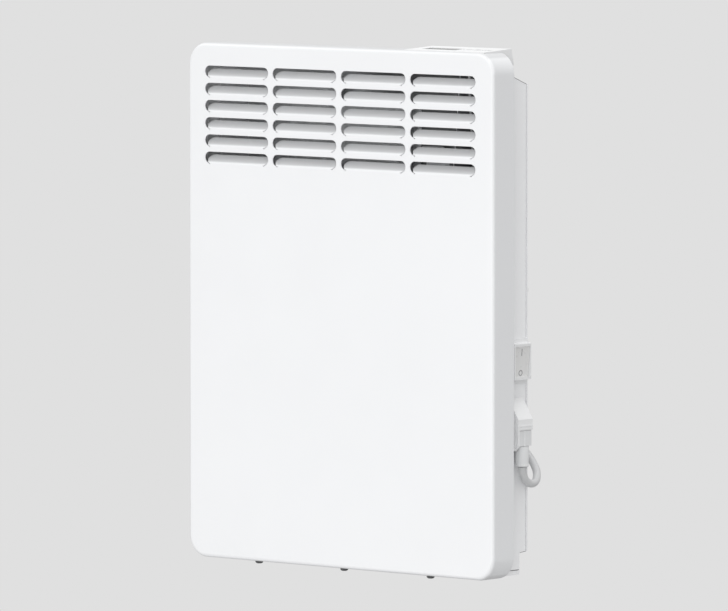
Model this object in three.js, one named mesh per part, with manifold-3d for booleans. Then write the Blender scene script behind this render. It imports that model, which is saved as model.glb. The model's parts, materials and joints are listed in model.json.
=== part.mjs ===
// A wall-mounted panel convector heater: a pressed steel front cover with a louvred air outlet, a sheet
// steel rear casing that hangs on a wall bracket, a finned heating element, a control unit in the top
// edge, a rocker switch and a mains lead on the right-hand side.
//
// Millimetres. +X is to the right of someone who faces the heater, +Y points into the wall, +Z is up. The
// origin is the centre of the wall bracket's back face. Depths are measured back from the front face.

import * as THREE from 'three';
import { mergeVertices } from 'three/addons/utils/BufferGeometryUtils.js';
import Module from 'manifold-3d';

const wasm = await Module();
wasm.setup();

// ---- Driving dimensions --------------------------------------------------------------------------

const WIDTH = 348;
const HEIGHT = 450;
const DEPTH = 100;
const GAP = 0.3; // between pieces that rest on each other

// Front cover
const COVER_SHEET = 1;
const COVER_CORNER = 19;
const COVER_BEND = 3;
const COVER_FLANGE = 27;

// Louvres of the outlet
const LOUVRE_COLUMNS = 4;
const LOUVRE_ROWS = 6;
const LOUVRE_PITCH_X = 78.3;
const LOUVRE_SHIFT = -0.5; // of the outlet's middle along X
const LOUVRE_PITCH_Z = 15;
const LOUVRE_LENGTH = 73.4;
const LOUVRE_HEIGHT = 10.2;
const LOUVRE_TOP_MARGIN = 19.8;
const LOUVRE_TILT = 48; // degrees
const LOUVRE_BEND = 0.8;
const LOUVRE_EDGE_GAP = 0.5;
const LOUVRE_RELIEF = 0.8;
const LOUVRE_CORNER = LOUVRE_HEIGHT / 2;
const LOUVRE_REACH = LOUVRE_HEIGHT - LOUVRE_EDGE_GAP; // along the tongue

// Rear casing
const CASING_SHEET = 1;
const CASING_INSET = 15; // from the cover's side
const CASING_DEPTH = 62;
const CASING_ROOF_DROP = 28.5; // of the roof's rear edge under the cover's top
const CASING_ROOF_TILT = 20.7; // degrees
const CASING_REAR_LIP = 1.1; // of the rear sheet past the sides
const CASING_STEP_RISE = 21; // over the cover's lower edge
const CASING_STEP_DEPTH = 52.5;
const CASING_STEP_DROP = 1;
const LEDGE_RECESS = 3; // from the rim of the cover's flange
const LEDGE_GAP = 0.4; // to the inside of the cover

// Air inlet tray
const INLET_GAP = 0.6; // over the cover's lower flange, clear of its round corners
const INLET_RIM = 3.8;
const INLET_FRONT_DEPTH = 3;
const INLET_SLOT_WIDTH = 3.2;
const INLET_SLOT_PITCH = 7;
const INLET_FRONT_BAR = 2; // between the cover's rim and the slots
const INLET_REAR_BAR = 3.5;
const INLET_SIDE_BAR = 18;

// Screws
const SCREW_SPACING = 98;
const SCREW_DEPTH = 7;
const SCREW_HEAD_RADIUS = 3.8;
const SCREW_HEAD_HEIGHT = 2.3;
const SCREW_SHANK_RADIUS = 1.7;
const SCREW_SHANK_LENGTH = 7;
const SCREW_HOLE_GAP = 0.3;

// Wall bracket
const BRACKET_WIDTH = 200;
const BRACKET_HEIGHT = 300;
const BRACKET_SHEET = 1.5;
const BRACKET_FLANGE = 6;
const BRACKET_CORNER = 6;
const HOOK_WIDTH = 24;
const HOOK_SPACING = 60;
const HOOK_Z = 130;
const HOOK_REACH = 7; // behind the casing's rear sheet
const HOOK_TIP = 10;
const HOOK_SIDE_GAP = 1;
const HOOK_DROP_ROOM = 6; // below the hook's tip, to lift the casing off
const SUPPORT_Z = -58;
const SUPPORT_SPACING = 70;
const SUPPORT_FOOT = 16;
const KEYHOLE_SPACING = 75;
const KEYHOLE_Z = 100;
const KEYHOLE_RADIUS = 4.5;
const KEYHOLE_SLOT = 2.5;
const KEYHOLE_RISE = 10;
const CORD_HOOK_WIDTH = 16;
const CORD_HOOK_TIP = 11;
const CORD_HOOK_ROOM = 1; // between the coil and the hook's tip

// Rear bumpers
const BUMPER_RADIUS = 9.5;
const BUMPER_THICKNESS = 4;
const BUMPER_INSET = 11; // from the casing's side
const BUMPER_Z = 20;
const BUMPER_ROUND = 1.4;

// Control unit in the top edge, flush with the casing's right side
const CONTROL_WIDTH = 89;
const CONTROL_FRONT = 5;
const CONTROL_REAR = 41;
const CONTROL_RISE = 0.3; // of its front edge over the cover's top
const CONTROL_SLOPE = 2; // of its rear edge over its front edge
const CONTROL_SKIRT = 9.3;
const CONTROL_WALL = 1.6;
const CONTROL_NOTCH_GAP = 0.5;
const CARRIER_OVERHANG = 3; // behind the cap
const CARRIER_RIM = 3;
const CARRIER_FLOOR = 1.5;
const CARRIER_POST_WIDTH = 8;
const CARRIER_POST_DEPTH = 6;
const CARRIER_POST_FRONT = 33;
const CARRIER_POST_INSET = 14;
const WINDOW_OFFSET = 10.3; // from the cap's left end
const WINDOW_WIDTH = 38.4;
const WINDOW_FRONT = 15;
const WINDOW_REAR = 29;
const WINDOW_RECESS = 0.5;
const WINDOW_THICKNESS = 0.6;
const WINDOW_LIP = 1.5;
const MODULE_MARGIN = 2.5; // of the display inside the window
const KEY_COUNT = 3;
const KEY_PITCH = 10.5;
const KEY_OFFSET = 57; // from the cap's left end
const KEY_SIZE = 7;
const KEY_CORNER = 1.2;
const KEY_DEPTH = 22;
const KEY_PROUD = 0.3;
const KEY_COLLAR = 1; // how far the collar reaches out
const KEY_COLLAR_THICKNESS = 1.2;
const KEY_STEM = 1.2;
const KEY_STEM_RADIUS = 2;
const KEY_TRAVEL = 0.7;
const BOARD_THICKNESS = 1.5;
const DISPLAY_BOARD_RISE = 1.2; // over the skirt's lower edge
const DISPLAY_BOARD_MARGIN = 4;
const DOME_RADIUS = 2.4;

// Rocker switch on the right-hand side
const SWITCH_Z = -40.2;
const SWITCH_REAR_ROOM = 1.2; // between its body and the casing's rear sheet
const BEZEL_WIDTH = 24;
const BEZEL_HEIGHT = 37.4;
const BEZEL_THICKNESS = 1.2;
const BEZEL_CORNER = 1.5;
const SURROUND_REACH = 5.2; // of the raised wall round the rocker, over the bezel
const SURROUND_WALL = 1.2;
const SURROUND_DRAFT = 0.8; // how much wider it is at its foot
const SWITCH_BODY_WIDTH = 21.6;
const SWITCH_BODY_HEIGHT = 34;
const SWITCH_BODY_LENGTH = 22;
const ROCKER_WIDTH = 19;
const ROCKER_HEIGHT = 26.6;
const ROCKER_FACE = 5.4; // from the pivot to the face
const ROCKER_HEEL = 1.5; // from the pivot to where the round ends stop
const ROCKER_KEEL = [3, 5]; // how far the underside reaches in, and half its height there
const ROCKER_TILT = 5; // degrees, each way
const ROCKER_EDGE = 1.4; // chamfer of its two ends
const ROCKER_RIM = 1.3;
const ROCKER_DISH = 0.5;
const ROCKER_PIVOT_INSET = 1; // the pivot lies this far inside the casing's side
const ROCKER_PIN_RADIUS = 1.5;
const ROCKER_PIN_LENGTH = 0.7;
const ROCKER_PLAY = 0.3;
const POCKET_FLOOR = 6.5; // behind the pivot
const BLADE_WIDTH = 4.8;
const BLADE_THICKNESS = 0.8;
const BLADE_LENGTH = 9;
const BLADE_SPACING = 9;

// Cord gland under the switch
const GLAND_TOP_Z = -71;
const GLAND_SLOPE = 18; // height of the slanted top
const GLAND_CLAMP_DROP = 27.5; // of the clamp's top under the gland's top
const GLAND_CLAMP_HEIGHT = 13.5;
const GLAND_FOOT = 4;
const GLAND_FRONT = 36.5;
const GLAND_WIDTH = 19;
const GLAND_REACH = 12; // out from the casing's side
const GLAND_WALL = 2;
const GLAND_BACK_WALL = 1.5;
const GLAND_EDGE = 0.8; // thickness of the slanted top's upper edge
const GLAND_CHAMFER = 4.7; // off the slanted top's lower rear corner
const GLAND_RIDGE = 0.5;
const GLAND_RIDGE_HEIGHT = 1;
const GLAND_RIDGE_PITCH = 2.4;
const CLAMP_RECESS = 0.3; // of the clamp behind the gland's outer face
const CLAMP_SETBACK = 0.5; // of the clamp's rear end
const CLAMP_ROUND = 1.2;
const CLAMP_STEP = 0.5; // down to the front part of its outer face
const CLAMP_STEP_DEPTH = 45.6;
const DUCT_CLEARANCE = 1; // round the lead inside the gland
const RELIEF_REACH = 6.3; // of the strain relief's axis out from the casing's side
const RELIEF_OFFSET = 11.7; // of its axis behind the gland's front
const RELIEF_TOP_RADIUS = 6;
const RELIEF_NECK_WALL = 0.5; // inside the gland
const RELIEF_END_RADIUS = 5.7;
const RELIEF_LIP = 1.6;
const RELIEF_LENGTH = 18; // below the clamp
const RELIEF_NECK_TOP = 1.5; // below the clamp's top
const LEAD_HOLE_RISE = 4.5; // above the clamp's top

// Mains lead
const CORD_DIAMETER = 6.8;
const COIL_X = 77;
const COIL_Z = -125.3;
const COIL_INNER_RADIUS = 31;
const COIL_TURN_GAP = 0.6;
const COIL_LAYER_GAP = 0.5;
const COIL_TURNS_PER_LAYER = 1.75;
const COIL_WALL_DISTANCE = 12; // of the first layer's axis
const COIL_START_ANGLE = 45; // degrees
const COIL_STEPS = 24;
const COIL_SIDES = 6;
const CORE_DIAMETER = 2.2;
const CORE_OFFSET = 1.4; // from the cord's axis
const CORE_LENGTH = 34;
const CORE_SPREAD = 3.5; // how far a core's end has moved outwards
const CORE_STRAIGHT = 4; // at the jacket's end and before the ferrule
const FERRULE_RADIUS = 0.9;
const FERRULE_LENGTH = 8;
const TIE_WIDTH = 6;
const TIE_THICKNESS = 1.4;
const TIE_SLACK = 0.5;
const TIE_CORNER = 2.1;
const TIE_ANGLE = 200; // degrees round the coil

// Heating element
const ELEMENT_Z = -120;
const ELEMENT_DEPTH = 34;
const ELEMENT_STANDOFF = 13; // from the plates that carry it
const ELEMENT_CORE_RADIUS = 8;
const ELEMENT_FIN_REACH = 25;
const ELEMENT_FIN_THICKNESS = 1.8;
const ELEMENT_RIB_LENGTH = 9;
const ELEMENT_RIB_TAPER = 0.18; // how much shorter each rib is, going inwards
const ELEMENT_RIB_PITCH = 5.5;
const ELEMENT_RIB_THICKNESS = 1.3;
const ELEMENT_RIBS = 3;
const ROD_RADIUS = 4;
const ROD_END = 14; // past the plate that carries it
const BUSH_RADIUS = 7;
const BUSH_NECK = 2; // past the plate's inner face
const BUSH_FLANGE = 10;
const BUSH_FLANGE_THICKNESS = 2;
const TERMINAL_RADIUS = 1.6;
const TERMINAL_LENGTH = 9;

// Inner sheets
const INNER_SHEET = 0.8;
const FOOT_WIDTH = 9; // of the flanges that sit on the casing's rear sheet
const PARTITION_INSET = 48; // from the casing's right side
const PARTITION_TOP_FRONT = 30;
const PARTITION_LOW_FRONT = 21;
const PARTITION_KNEE_Z = 125;
const PARTITION_RISE = 6; // over the casing's step
const END_PLATE_INSET = 33; // from the casing's left side
const END_PLATE_FRONT = 18;
const END_PLATE_HEIGHT = 62;
const END_PLATE_CORNER = 3;
const SHIELD_LEFT = -101;
const SHIELD_RIGHT = 33;
const SHIELD_NOTCH_X = -42; // its upper right corner is cut away
const SHIELD_NOTCH_Z = 176;
const SHIELD_DEPTH = 50;
const SHIELD_BOTTOM_Z = -86;
const SHIELD_TOP_DROP = 7; // under the roof's rear edge
const ROUND = 32; // facets of a full circle

// Connection space: terminals, power board and sensors
const BLOCK_INSET = 21; // of its middle from the casing's right side
const BLOCK_WIDTH = 24;
const BLOCK_LENGTH = 34;
const BLOCK_HEIGHT = 15;
const BLOCK_Z = -155;
const BLOCK_WELL_RADIUS = 2.2;
const BLOCK_WELL_DEPTH = 6;
const BLOCK_WELL_SPACING = 6.5; // each way from its middle
const BLOCK_WELL_PITCH = 9;
const POWER_BOARD_STANDOFF = 5;
const POWER_BOARD_FRONT = 26;
const POWER_BOARD_REAR = 56;
const POWER_BOARD_Z = 18;
const POWER_BOARD_HEIGHT = 78;
const POWER_BOARD_INSET = [4, 6]; // of the posts, in depth and in height
const RELAY_SIZE = [15.7, 14, 30]; // standing off the board, in depth and in height
const RELAY_PLACE = [4, 12]; // from the board's front edge and lower edge
const CAPACITOR_RADIUS = 6;
const CAPACITOR_LENGTH = 14;
const CAPACITOR_PLACE = [14, 58];
const CUTOUT_X = 56;
const CUTOUT_Z = -78;
const CUTOUT_RADIUS = 8;
const CUTOUT_HEIGHT = 7;
const CUTOUT_CAN_HEIGHT = 2;
const CUTOUT_BRACKET_HEIGHT = 16;
const SENSOR_INSET = 9.5; // from the casing's right side
const SENSOR_DEPTH = 40;
const SENSOR_RADIUS = 2.5;
const SENSOR_LENGTH = 16;
const SENSOR_RISE = 5.5; // of the sensor's axis over the tray's floor
const CLIP_WALL = 2;
const CLIP_DEPTH = 6;

// Wiring
const WIRE_RADIUS = 1.2;
const WIRE_FLOOR_RISE = 3.5; // of the wire along the casing's step
const WIRE_SIDE_STEP = 3.5; // of the sensor's wire towards the casing's side
const BLOCK_WIRE_DEPTH = 53;
const CABLE_HOLE_OFFSET = 50; // from the cap's left end
const CABLE_HOLE_DEPTH = 32;
const CABLE_HOLE_RADIUS = 3;

// ---- Derived places ------------------------------------------------------------------------------

const radians = THREE.MathUtils.degToRad;
const depthToY = (depth) => depth - DEPTH;

const CASING_X = WIDTH / 2 - CASING_INSET;
const CASING_INNER_X = CASING_X - CASING_SHEET;
const CASING_REAR = CASING_DEPTH - CASING_SHEET; // depth of the rear sheet's inner face
const CASING_ROOF_Z = HEIGHT / 2 - CASING_ROOF_DROP;
const CASING_STEP_Z = -HEIGHT / 2 + CASING_STEP_RISE;
const LEDGE_DEPTH = COVER_FLANGE - LEDGE_RECESS;
const INLET_FLOOR_Z = -HEIGHT / 2 + COVER_SHEET + INLET_GAP;
const CASING_BOTTOM_Z = INLET_FLOOR_Z + INLET_RIM + GAP;
const roofZ = (depth) => CASING_ROOF_Z + (CASING_DEPTH - depth) * Math.tan(radians(CASING_ROOF_TILT));

const CONTROL_RIGHT = CASING_X;
const CONTROL_LEFT = CONTROL_RIGHT - CONTROL_WIDTH;
const CABLE_HOLE_X = CONTROL_LEFT + CABLE_HOLE_OFFSET;
const CONTROL_FRONT_Z = HEIGHT / 2 + CONTROL_RISE;
const CONTROL_REAR_Z = CONTROL_FRONT_Z + CONTROL_SLOPE;
const CONTROL_SKIRT_Z = CONTROL_FRONT_Z - CONTROL_SKIRT;
const CARRIER_REAR = CONTROL_REAR + CARRIER_OVERHANG;
const CARRIER_Z = CONTROL_SKIRT_Z - CARRIER_RIM;
const WINDOW_LEFT = CONTROL_LEFT + WINDOW_OFFSET;
const WINDOW_RIGHT = WINDOW_LEFT + WINDOW_WIDTH;
const DISPLAY_BOARD_Z = CONTROL_SKIRT_Z + DISPLAY_BOARD_RISE;
const BOARD_TOP_Z = DISPLAY_BOARD_Z + BOARD_THICKNESS;
const capZ = (depth) => THREE.MathUtils.mapLinear(
  depth, CONTROL_FRONT, CONTROL_REAR, CONTROL_FRONT_Z, CONTROL_REAR_Z);

const SWITCH_DEPTH = CASING_REAR - SWITCH_REAR_ROOM - SWITCH_BODY_WIDTH / 2;
const PIVOT_X = CASING_X - ROCKER_PIVOT_INSET;

const GLAND_REAR = GLAND_FRONT + GLAND_WIDTH;
const RELIEF_DEPTH = GLAND_FRONT + RELIEF_OFFSET;
const GLAND_CLAMP_TOP_Z = GLAND_TOP_Z - GLAND_CLAMP_DROP;
const GLAND_CLAMP_BOTTOM_Z = GLAND_CLAMP_TOP_Z - GLAND_CLAMP_HEIGHT;
const GLAND_BOTTOM_Z = GLAND_CLAMP_BOTTOM_Z - GLAND_FOOT;
const RELIEF_X = CASING_X + RELIEF_REACH;
const RELIEF_BOTTOM_Z = GLAND_CLAMP_BOTTOM_Z - RELIEF_LENGTH;
const LEAD_HOLE_Z = GLAND_CLAMP_TOP_Z + LEAD_HOLE_RISE;

const CORD_RADIUS = CORD_DIAMETER / 2;
const COIL_TURN_PITCH = CORD_DIAMETER + COIL_TURN_GAP;
const COIL_LAYER_PITCH = CORD_DIAMETER + COIL_LAYER_GAP;
const COIL_OUTER_RADIUS = COIL_INNER_RADIUS + COIL_TURN_PITCH * COIL_TURNS_PER_LAYER;
const COIL_FIRST_Y = -COIL_WALL_DISTANCE;
const COIL_SECOND_Y = COIL_FIRST_Y - COIL_LAYER_PITCH;
const RELIEF_NECK_RADIUS = CORD_RADIUS + RELIEF_NECK_WALL;

const PARTITION_X = CASING_X - PARTITION_INSET;
const END_PLATE_X = END_PLATE_INSET - CASING_X;
const ELEMENT_LEFT = END_PLATE_X + ELEMENT_STANDOFF;
const ELEMENT_RIGHT = PARTITION_X - ELEMENT_STANDOFF;
const FOOT_REAR = CASING_REAR - GAP; // depth at which the inner pieces sit on the rear sheet
const SENSOR_X = CASING_X - SENSOR_INSET;
const BLOCK_X = CASING_X - BLOCK_INSET;

// ---- Shapes and solids ---------------------------------------------------------------------------

function toSolid(geometry) {
  const bare = geometry.index ? geometry.toNonIndexed() : geometry.clone();
  bare.deleteAttribute('normal');
  bare.deleteAttribute('uv');
  const merged = mergeVertices(bare, 1e-4);
  const mesh = new wasm.Mesh({
    numProp: 3,
    vertProperties: new Float32Array(merged.attributes.position.array),
    triVerts: new Uint32Array(merged.index.array),
  });
  return new wasm.Manifold(mesh);
}

function toGeometry(solid) {
  const mesh = solid.getMesh();
  const geometry = new THREE.BufferGeometry();
  geometry.setAttribute('position', new THREE.BufferAttribute(mesh.vertProperties, 3));
  geometry.setIndex(new THREE.BufferAttribute(mesh.triVerts, 1));
  return geometry;
}

const join = (...solids) => solids.reduce((whole, solid) => whole.add(solid));
const cut = (whole, ...tools) => tools.reduce((rest, tool) => rest.subtract(tool), whole);

function polygon(points) {
  return new THREE.Shape(points.map(([u, v]) => new THREE.Vector2(u, v)));
}

// A rectangle with round corners; the outline takes new THREE.Path for a hole.
function roundedRect(left, right, bottom, top, radius, outline = new THREE.Shape()) {
  const quarter = Math.PI / 2;
  outline.moveTo(left + radius, bottom);
  outline.absarc(right - radius, bottom + radius, radius, -quarter, 0, false);
  outline.absarc(right - radius, top - radius, radius, 0, quarter, false);
  outline.absarc(left + radius, top - radius, radius, quarter, 2 * quarter, false);
  outline.absarc(left + radius, bottom + radius, radius, 2 * quarter, 3 * quarter, false);
  return outline;
}

function extrude(shape, length, segments = 6) {
  return new THREE.ExtrudeGeometry(shape, { depth: length, bevelEnabled: false, curveSegments: segments });
}

// The shape is drawn in (y, z) and runs from x0 to x1.
function alongX(shape, x0, x1, segments) {
  const axes = new THREE.Matrix4().makeBasis(
    new THREE.Vector3(0, 1, 0), new THREE.Vector3(0, 0, 1), new THREE.Vector3(1, 0, 0));
  return toSolid(extrude(shape, x1 - x0, segments).applyMatrix4(axes).translate(x0, 0, 0));
}

// The shape is drawn in (x, z) and runs from y0 to y1.
function alongY(shape, y0, y1, segments) {
  return toSolid(extrude(shape, y1 - y0, segments).rotateX(Math.PI / 2).translate(0, y1, 0));
}

// The shape is drawn in (x, y) and runs from z0 to z1.
function alongZ(shape, z0, z1, segments) {
  return toSolid(extrude(shape, z1 - z0, segments).translate(0, 0, z0));
}

function block([x0, x1], [y0, y1], [z0, z1]) {
  const box = new THREE.BoxGeometry(x1 - x0, y1 - y0, z1 - z0);
  return toSolid(box.translate((x0 + x1) / 2, (y0 + y1) / 2, (z0 + z1) / 2));
}

// A block that is given by depths behind the front face.
function blockAt(xs, [front, rear], zs) {
  return block(xs, [depthToY(front), depthToY(rear)], zs);
}

// Turned about +Z through the origin: the profile is [radius, z] pairs from axis to axis.
function turned(profile, facets = ROUND) {
  const points = profile.map(([radius, z]) => new THREE.Vector2(radius, z));
  return new THREE.LatheGeometry(points, facets).rotateX(Math.PI / 2);
}

function turnedAbout(axis, profile, [x, y, z], facets) {
  const geometry = turned(profile, facets);
  if (axis === 'x') geometry.rotateY(Math.PI / 2);
  if (axis === 'y') geometry.rotateX(-Math.PI / 2);
  return toSolid(geometry.translate(x, y, z));
}

function rod(axis, radius, length, start, facets) {
  return turnedAbout(axis, [[0, 0], [radius, 0], [radius, length], [0, length]], start, facets);
}

function tube(points, radius, steps, sides) {
  const route = new THREE.CatmullRomCurve3(points.map(([x, y, z]) => new THREE.Vector3(x, y, z)));
  const section = new THREE.Shape();
  section.absarc(0, 0, radius, 0, 2 * Math.PI, false);
  return new THREE.ExtrudeGeometry(section, {
    steps, extrudePath: route, bevelEnabled: false, curveSegments: sides / 2 });
}

// Whether the triangles of a closed skin turn their backs outwards.
function isInsideOut(positions, index) {
  const corner = (i) => new THREE.Vector3().fromArray(positions, 3 * index[i]);
  let volume = 0;
  for (let i = 0; i < index.length; i += 3) {
    volume += corner(i).dot(corner(i + 1).cross(corner(i + 2)));
  }
  return volume < 0;
}

// A skin through rings of equally many points, closed by a fan at each end.
function loft(rings) {
  const count = rings[0].length;
  const positions = rings.flat(2);
  const index = [];
  for (let ring = 0; ring < rings.length - 1; ring++) {
    for (let i = 0; i < count; i++) {
      const a = ring * count + i;
      const b = ring * count + (i + 1) % count;
      index.push(a, b, a + count, b, b + count, a + count);
    }
  }
  const last = (rings.length - 1) * count;
  for (let i = 1; i < count - 1; i++) {
    index.push(0, i + 1, i);
    index.push(last, last + i, last + i + 1);
  }
  const geometry = new THREE.BufferGeometry();
  geometry.setAttribute('position', new THREE.Float32BufferAttribute(positions, 3));
  geometry.setIndex(isInsideOut(positions, index) ? index.reverse() : index);
  return toSolid(geometry);
}

// ---- Finishes ------------------------------------------------------------------------------------

function finish(color, roughness, metalness = 0) {
  return () => new THREE.MeshStandardMaterial({ color, roughness, metalness });
}

const whiteEnamel = finish(0xf3f5f7, 0.35);
const whitePlastic = finish(0xf1f2f3, 0.45);
const greyPlastic = finish(0xd4d6d8, 0.5);
const zincSheet = finish(0xa8abae, 0.42, 0.9);
const aluminium = finish(0xc3c6c9, 0.35, 0.95);
const steel = finish(0x9b9ea2, 0.3, 0.95);
const darkPlastic = finish(0x24272a, 0.4);
const darkGlass = finish(0x14171a, 0.08);
const board = finish(0x2f5d43, 0.55);
const ceramic = finish(0xe9e2d0, 0.6);
const rubber = finish(0x55585b, 0.75);
const cordJacket = finish(0xdadcde, 0.5);
const brownCore = finish(0x5b3a28, 0.5);
const blueCore = finish(0x2b59a8, 0.5);
const earthCore = finish(0x8fae2b, 0.5);

const heater = new THREE.Group();

function place(name, shape, material) {
  const geometry = shape.isBufferGeometry ? shape : toGeometry(shape);
  const mesh = new THREE.Mesh(geometry, material());
  mesh.name = name;
  heater.add(mesh);
}

// ---- Front cover ---------------------------------------------------------------------------------

// One ring of a pan: a rounded rectangle at y, drawn in by `inset` from the pan's full outline.
function panRing(halfWidth, halfHeight, corner, inset, y) {
  const shape = roundedRect(-halfWidth + inset, halfWidth - inset, -halfHeight + inset,
    halfHeight - inset, corner - inset);
  return shape.getPoints(5).slice(1).map((p) => [p.x, y, p.y]);
}

// The skin of a pan whose front edge is bent with the given radius.
function pan(halfWidth, halfHeight, corner, bend, front, rim) {
  const rings = [];
  const bendSteps = 4;
  for (let i = 0; i <= bendSteps; i++) {
    const turn = (i / bendSteps) * Math.PI / 2;
    const inset = bend * (1 - Math.sin(turn));
    rings.push(panRing(halfWidth, halfHeight, corner, inset, front + bend * (1 - Math.cos(turn))));
  }
  rings.push(panRing(halfWidth, halfHeight, corner, 0, rim));
  return loft(rings);
}

function louvreSlot(x, z) {
  const half = LOUVRE_LENGTH / 2;
  const shape = roundedRect(x - half, x + half, z, z + LOUVRE_HEIGHT, LOUVRE_HEIGHT / 2 - 0.01);
  const front = -DEPTH - 1;
  const back = -DEPTH + 2 * COVER_SHEET;
  const hinge = half - LOUVRE_HEIGHT / 2;
  const reliefs = [-1, 1].map((side) => rod(
    'y', LOUVRE_RELIEF, back - front, [x + side * hinge, front, z], 6));
  return join(alongY(shape, front, back, 2), ...reliefs);
}

// The tongue that is pressed in from the slot's lower edge: a strip that follows the bend and the slope.
function louvreTongue(x, z) {
  const tilt = radians(LOUVRE_TILT);
  const root = 0.6; // overlap with the sheet below the slot
  const bendSteps = 3;
  const cornerSteps = 3;
  const hinge = LOUVRE_LENGTH / 2 - LOUVRE_HEIGHT / 2;
  const stations = [{ run: -root, angle: 0 }];
  for (let i = 0; i <= bendSteps; i++) {
    const angle = (i / bendSteps) * tilt;
    stations.push({ run: angle * LOUVRE_BEND, angle });
  }
  const bendRun = LOUVRE_BEND * tilt;
  for (let i = 0; i <= cornerSteps; i++) {
    const turn = (i / cornerSteps) * Math.PI / 2;
    stations.push({ run: LOUVRE_REACH - LOUVRE_CORNER * (1 - Math.sin(turn)), angle: tilt });
  }
  const round = LOUVRE_HEIGHT / 2;
  const halfWidth = (run) => {
    const side = Math.sqrt(Math.max(0, round ** 2 - (round - Math.min(Math.max(run, 0), round)) ** 2));
    const wide = hinge - LOUVRE_RELIEF + side * (round + LOUVRE_RELIEF - LOUVRE_EDGE_GAP) / round;
    const drawn = Math.max(0, run - (LOUVRE_REACH - LOUVRE_CORNER));
    return wide - (LOUVRE_CORNER - Math.sqrt(Math.max(0, LOUVRE_CORNER ** 2 - drawn ** 2)));
  };
  // The outer face starts in the cover's face, turns on the bend radius and then runs straight.
  const centre = [-DEPTH + COVER_SHEET + LOUVRE_BEND, z];
  const rings = stations.map(({ run, angle }) => {
    const past = Math.max(0, run - bendRun);
    const below = Math.min(0, run);
    return [0, COVER_SHEET].map((skin) => {
      const radius = COVER_SHEET + LOUVRE_BEND - skin;
      const y = centre[0] - radius * Math.cos(angle) + past * Math.sin(tilt);
      const height = centre[1] + radius * Math.sin(angle) + past * Math.cos(tilt) + below;
      return [y, height];
    }).flatMap(([y, height], skin) => (skin
      ? [[x + halfWidth(run), y, height], [x - halfWidth(run), y, height]]
      : [[x - halfWidth(run), y, height], [x + halfWidth(run), y, height]]));
  });
  return loft(rings);
}

function frontCover() {
  const halfWidth = WIDTH / 2;
  const halfHeight = HEIGHT / 2;
  const rim = depthToY(COVER_FLANGE);
  const outer = pan(halfWidth, halfHeight, COVER_CORNER, COVER_BEND, -DEPTH, rim);
  const inner = pan(halfWidth - COVER_SHEET, halfHeight - COVER_SHEET, COVER_CORNER - COVER_SHEET,
    COVER_BEND - COVER_SHEET, -DEPTH + COVER_SHEET, rim + COVER_SHEET);
  const slots = [];
  const tongues = [];
  for (let column = 0; column < LOUVRE_COLUMNS; column++) {
    for (let row = 0; row < LOUVRE_ROWS; row++) {
      const x = LOUVRE_SHIFT + (column - (LOUVRE_COLUMNS - 1) / 2) * LOUVRE_PITCH_X;
      const z = halfHeight - LOUVRE_TOP_MARGIN - LOUVRE_HEIGHT - row * LOUVRE_PITCH_Z;
      slots.push(louvreSlot(x, z));
      tongues.push(louvreTongue(x, z));
    }
  }
  const notch = blockAt([CONTROL_LEFT - CONTROL_NOTCH_GAP, CONTROL_RIGHT + CONTROL_NOTCH_GAP],
    [CONTROL_FRONT - CONTROL_NOTCH_GAP, COVER_FLANGE + COVER_SHEET],
    [halfHeight - 2 * COVER_SHEET, halfHeight + COVER_SHEET]);
  const screwHoles = screwPlaces().map((x) => rod('z', SCREW_SHANK_RADIUS + SCREW_HOLE_GAP,
    3 * COVER_SHEET, [x, depthToY(SCREW_DEPTH), -halfHeight - COVER_SHEET], 12));
  return join(cut(outer, inner, ...slots, notch, ...screwHoles), ...tongues);
}

// ---- Rear casing and inlet tray ------------------------------------------------------------------

const screwPlaces = () => [-SCREW_SPACING, 0, SCREW_SPACING];

// The casing's side outline in (y, z), drawn in by `inset` and run out past its open front and bottom.
function casingProfile(inset, run) {
  const roofDrop = inset / Math.cos(radians(CASING_ROOF_TILT));
  const front = LEDGE_DEPTH - run;
  return polygon([
    [depthToY(front), CASING_BOTTOM_Z - run],
    [depthToY(CASING_STEP_DEPTH - inset), CASING_BOTTOM_Z - run],
    [depthToY(CASING_STEP_DEPTH - inset), CASING_STEP_Z - CASING_STEP_DROP + inset],
    [depthToY(CASING_DEPTH - inset), CASING_STEP_Z + inset],
    [depthToY(CASING_DEPTH - inset), roofZ(CASING_DEPTH - inset) - roofDrop],
    [depthToY(front), roofZ(front) - roofDrop],
  ]);
}

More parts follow.
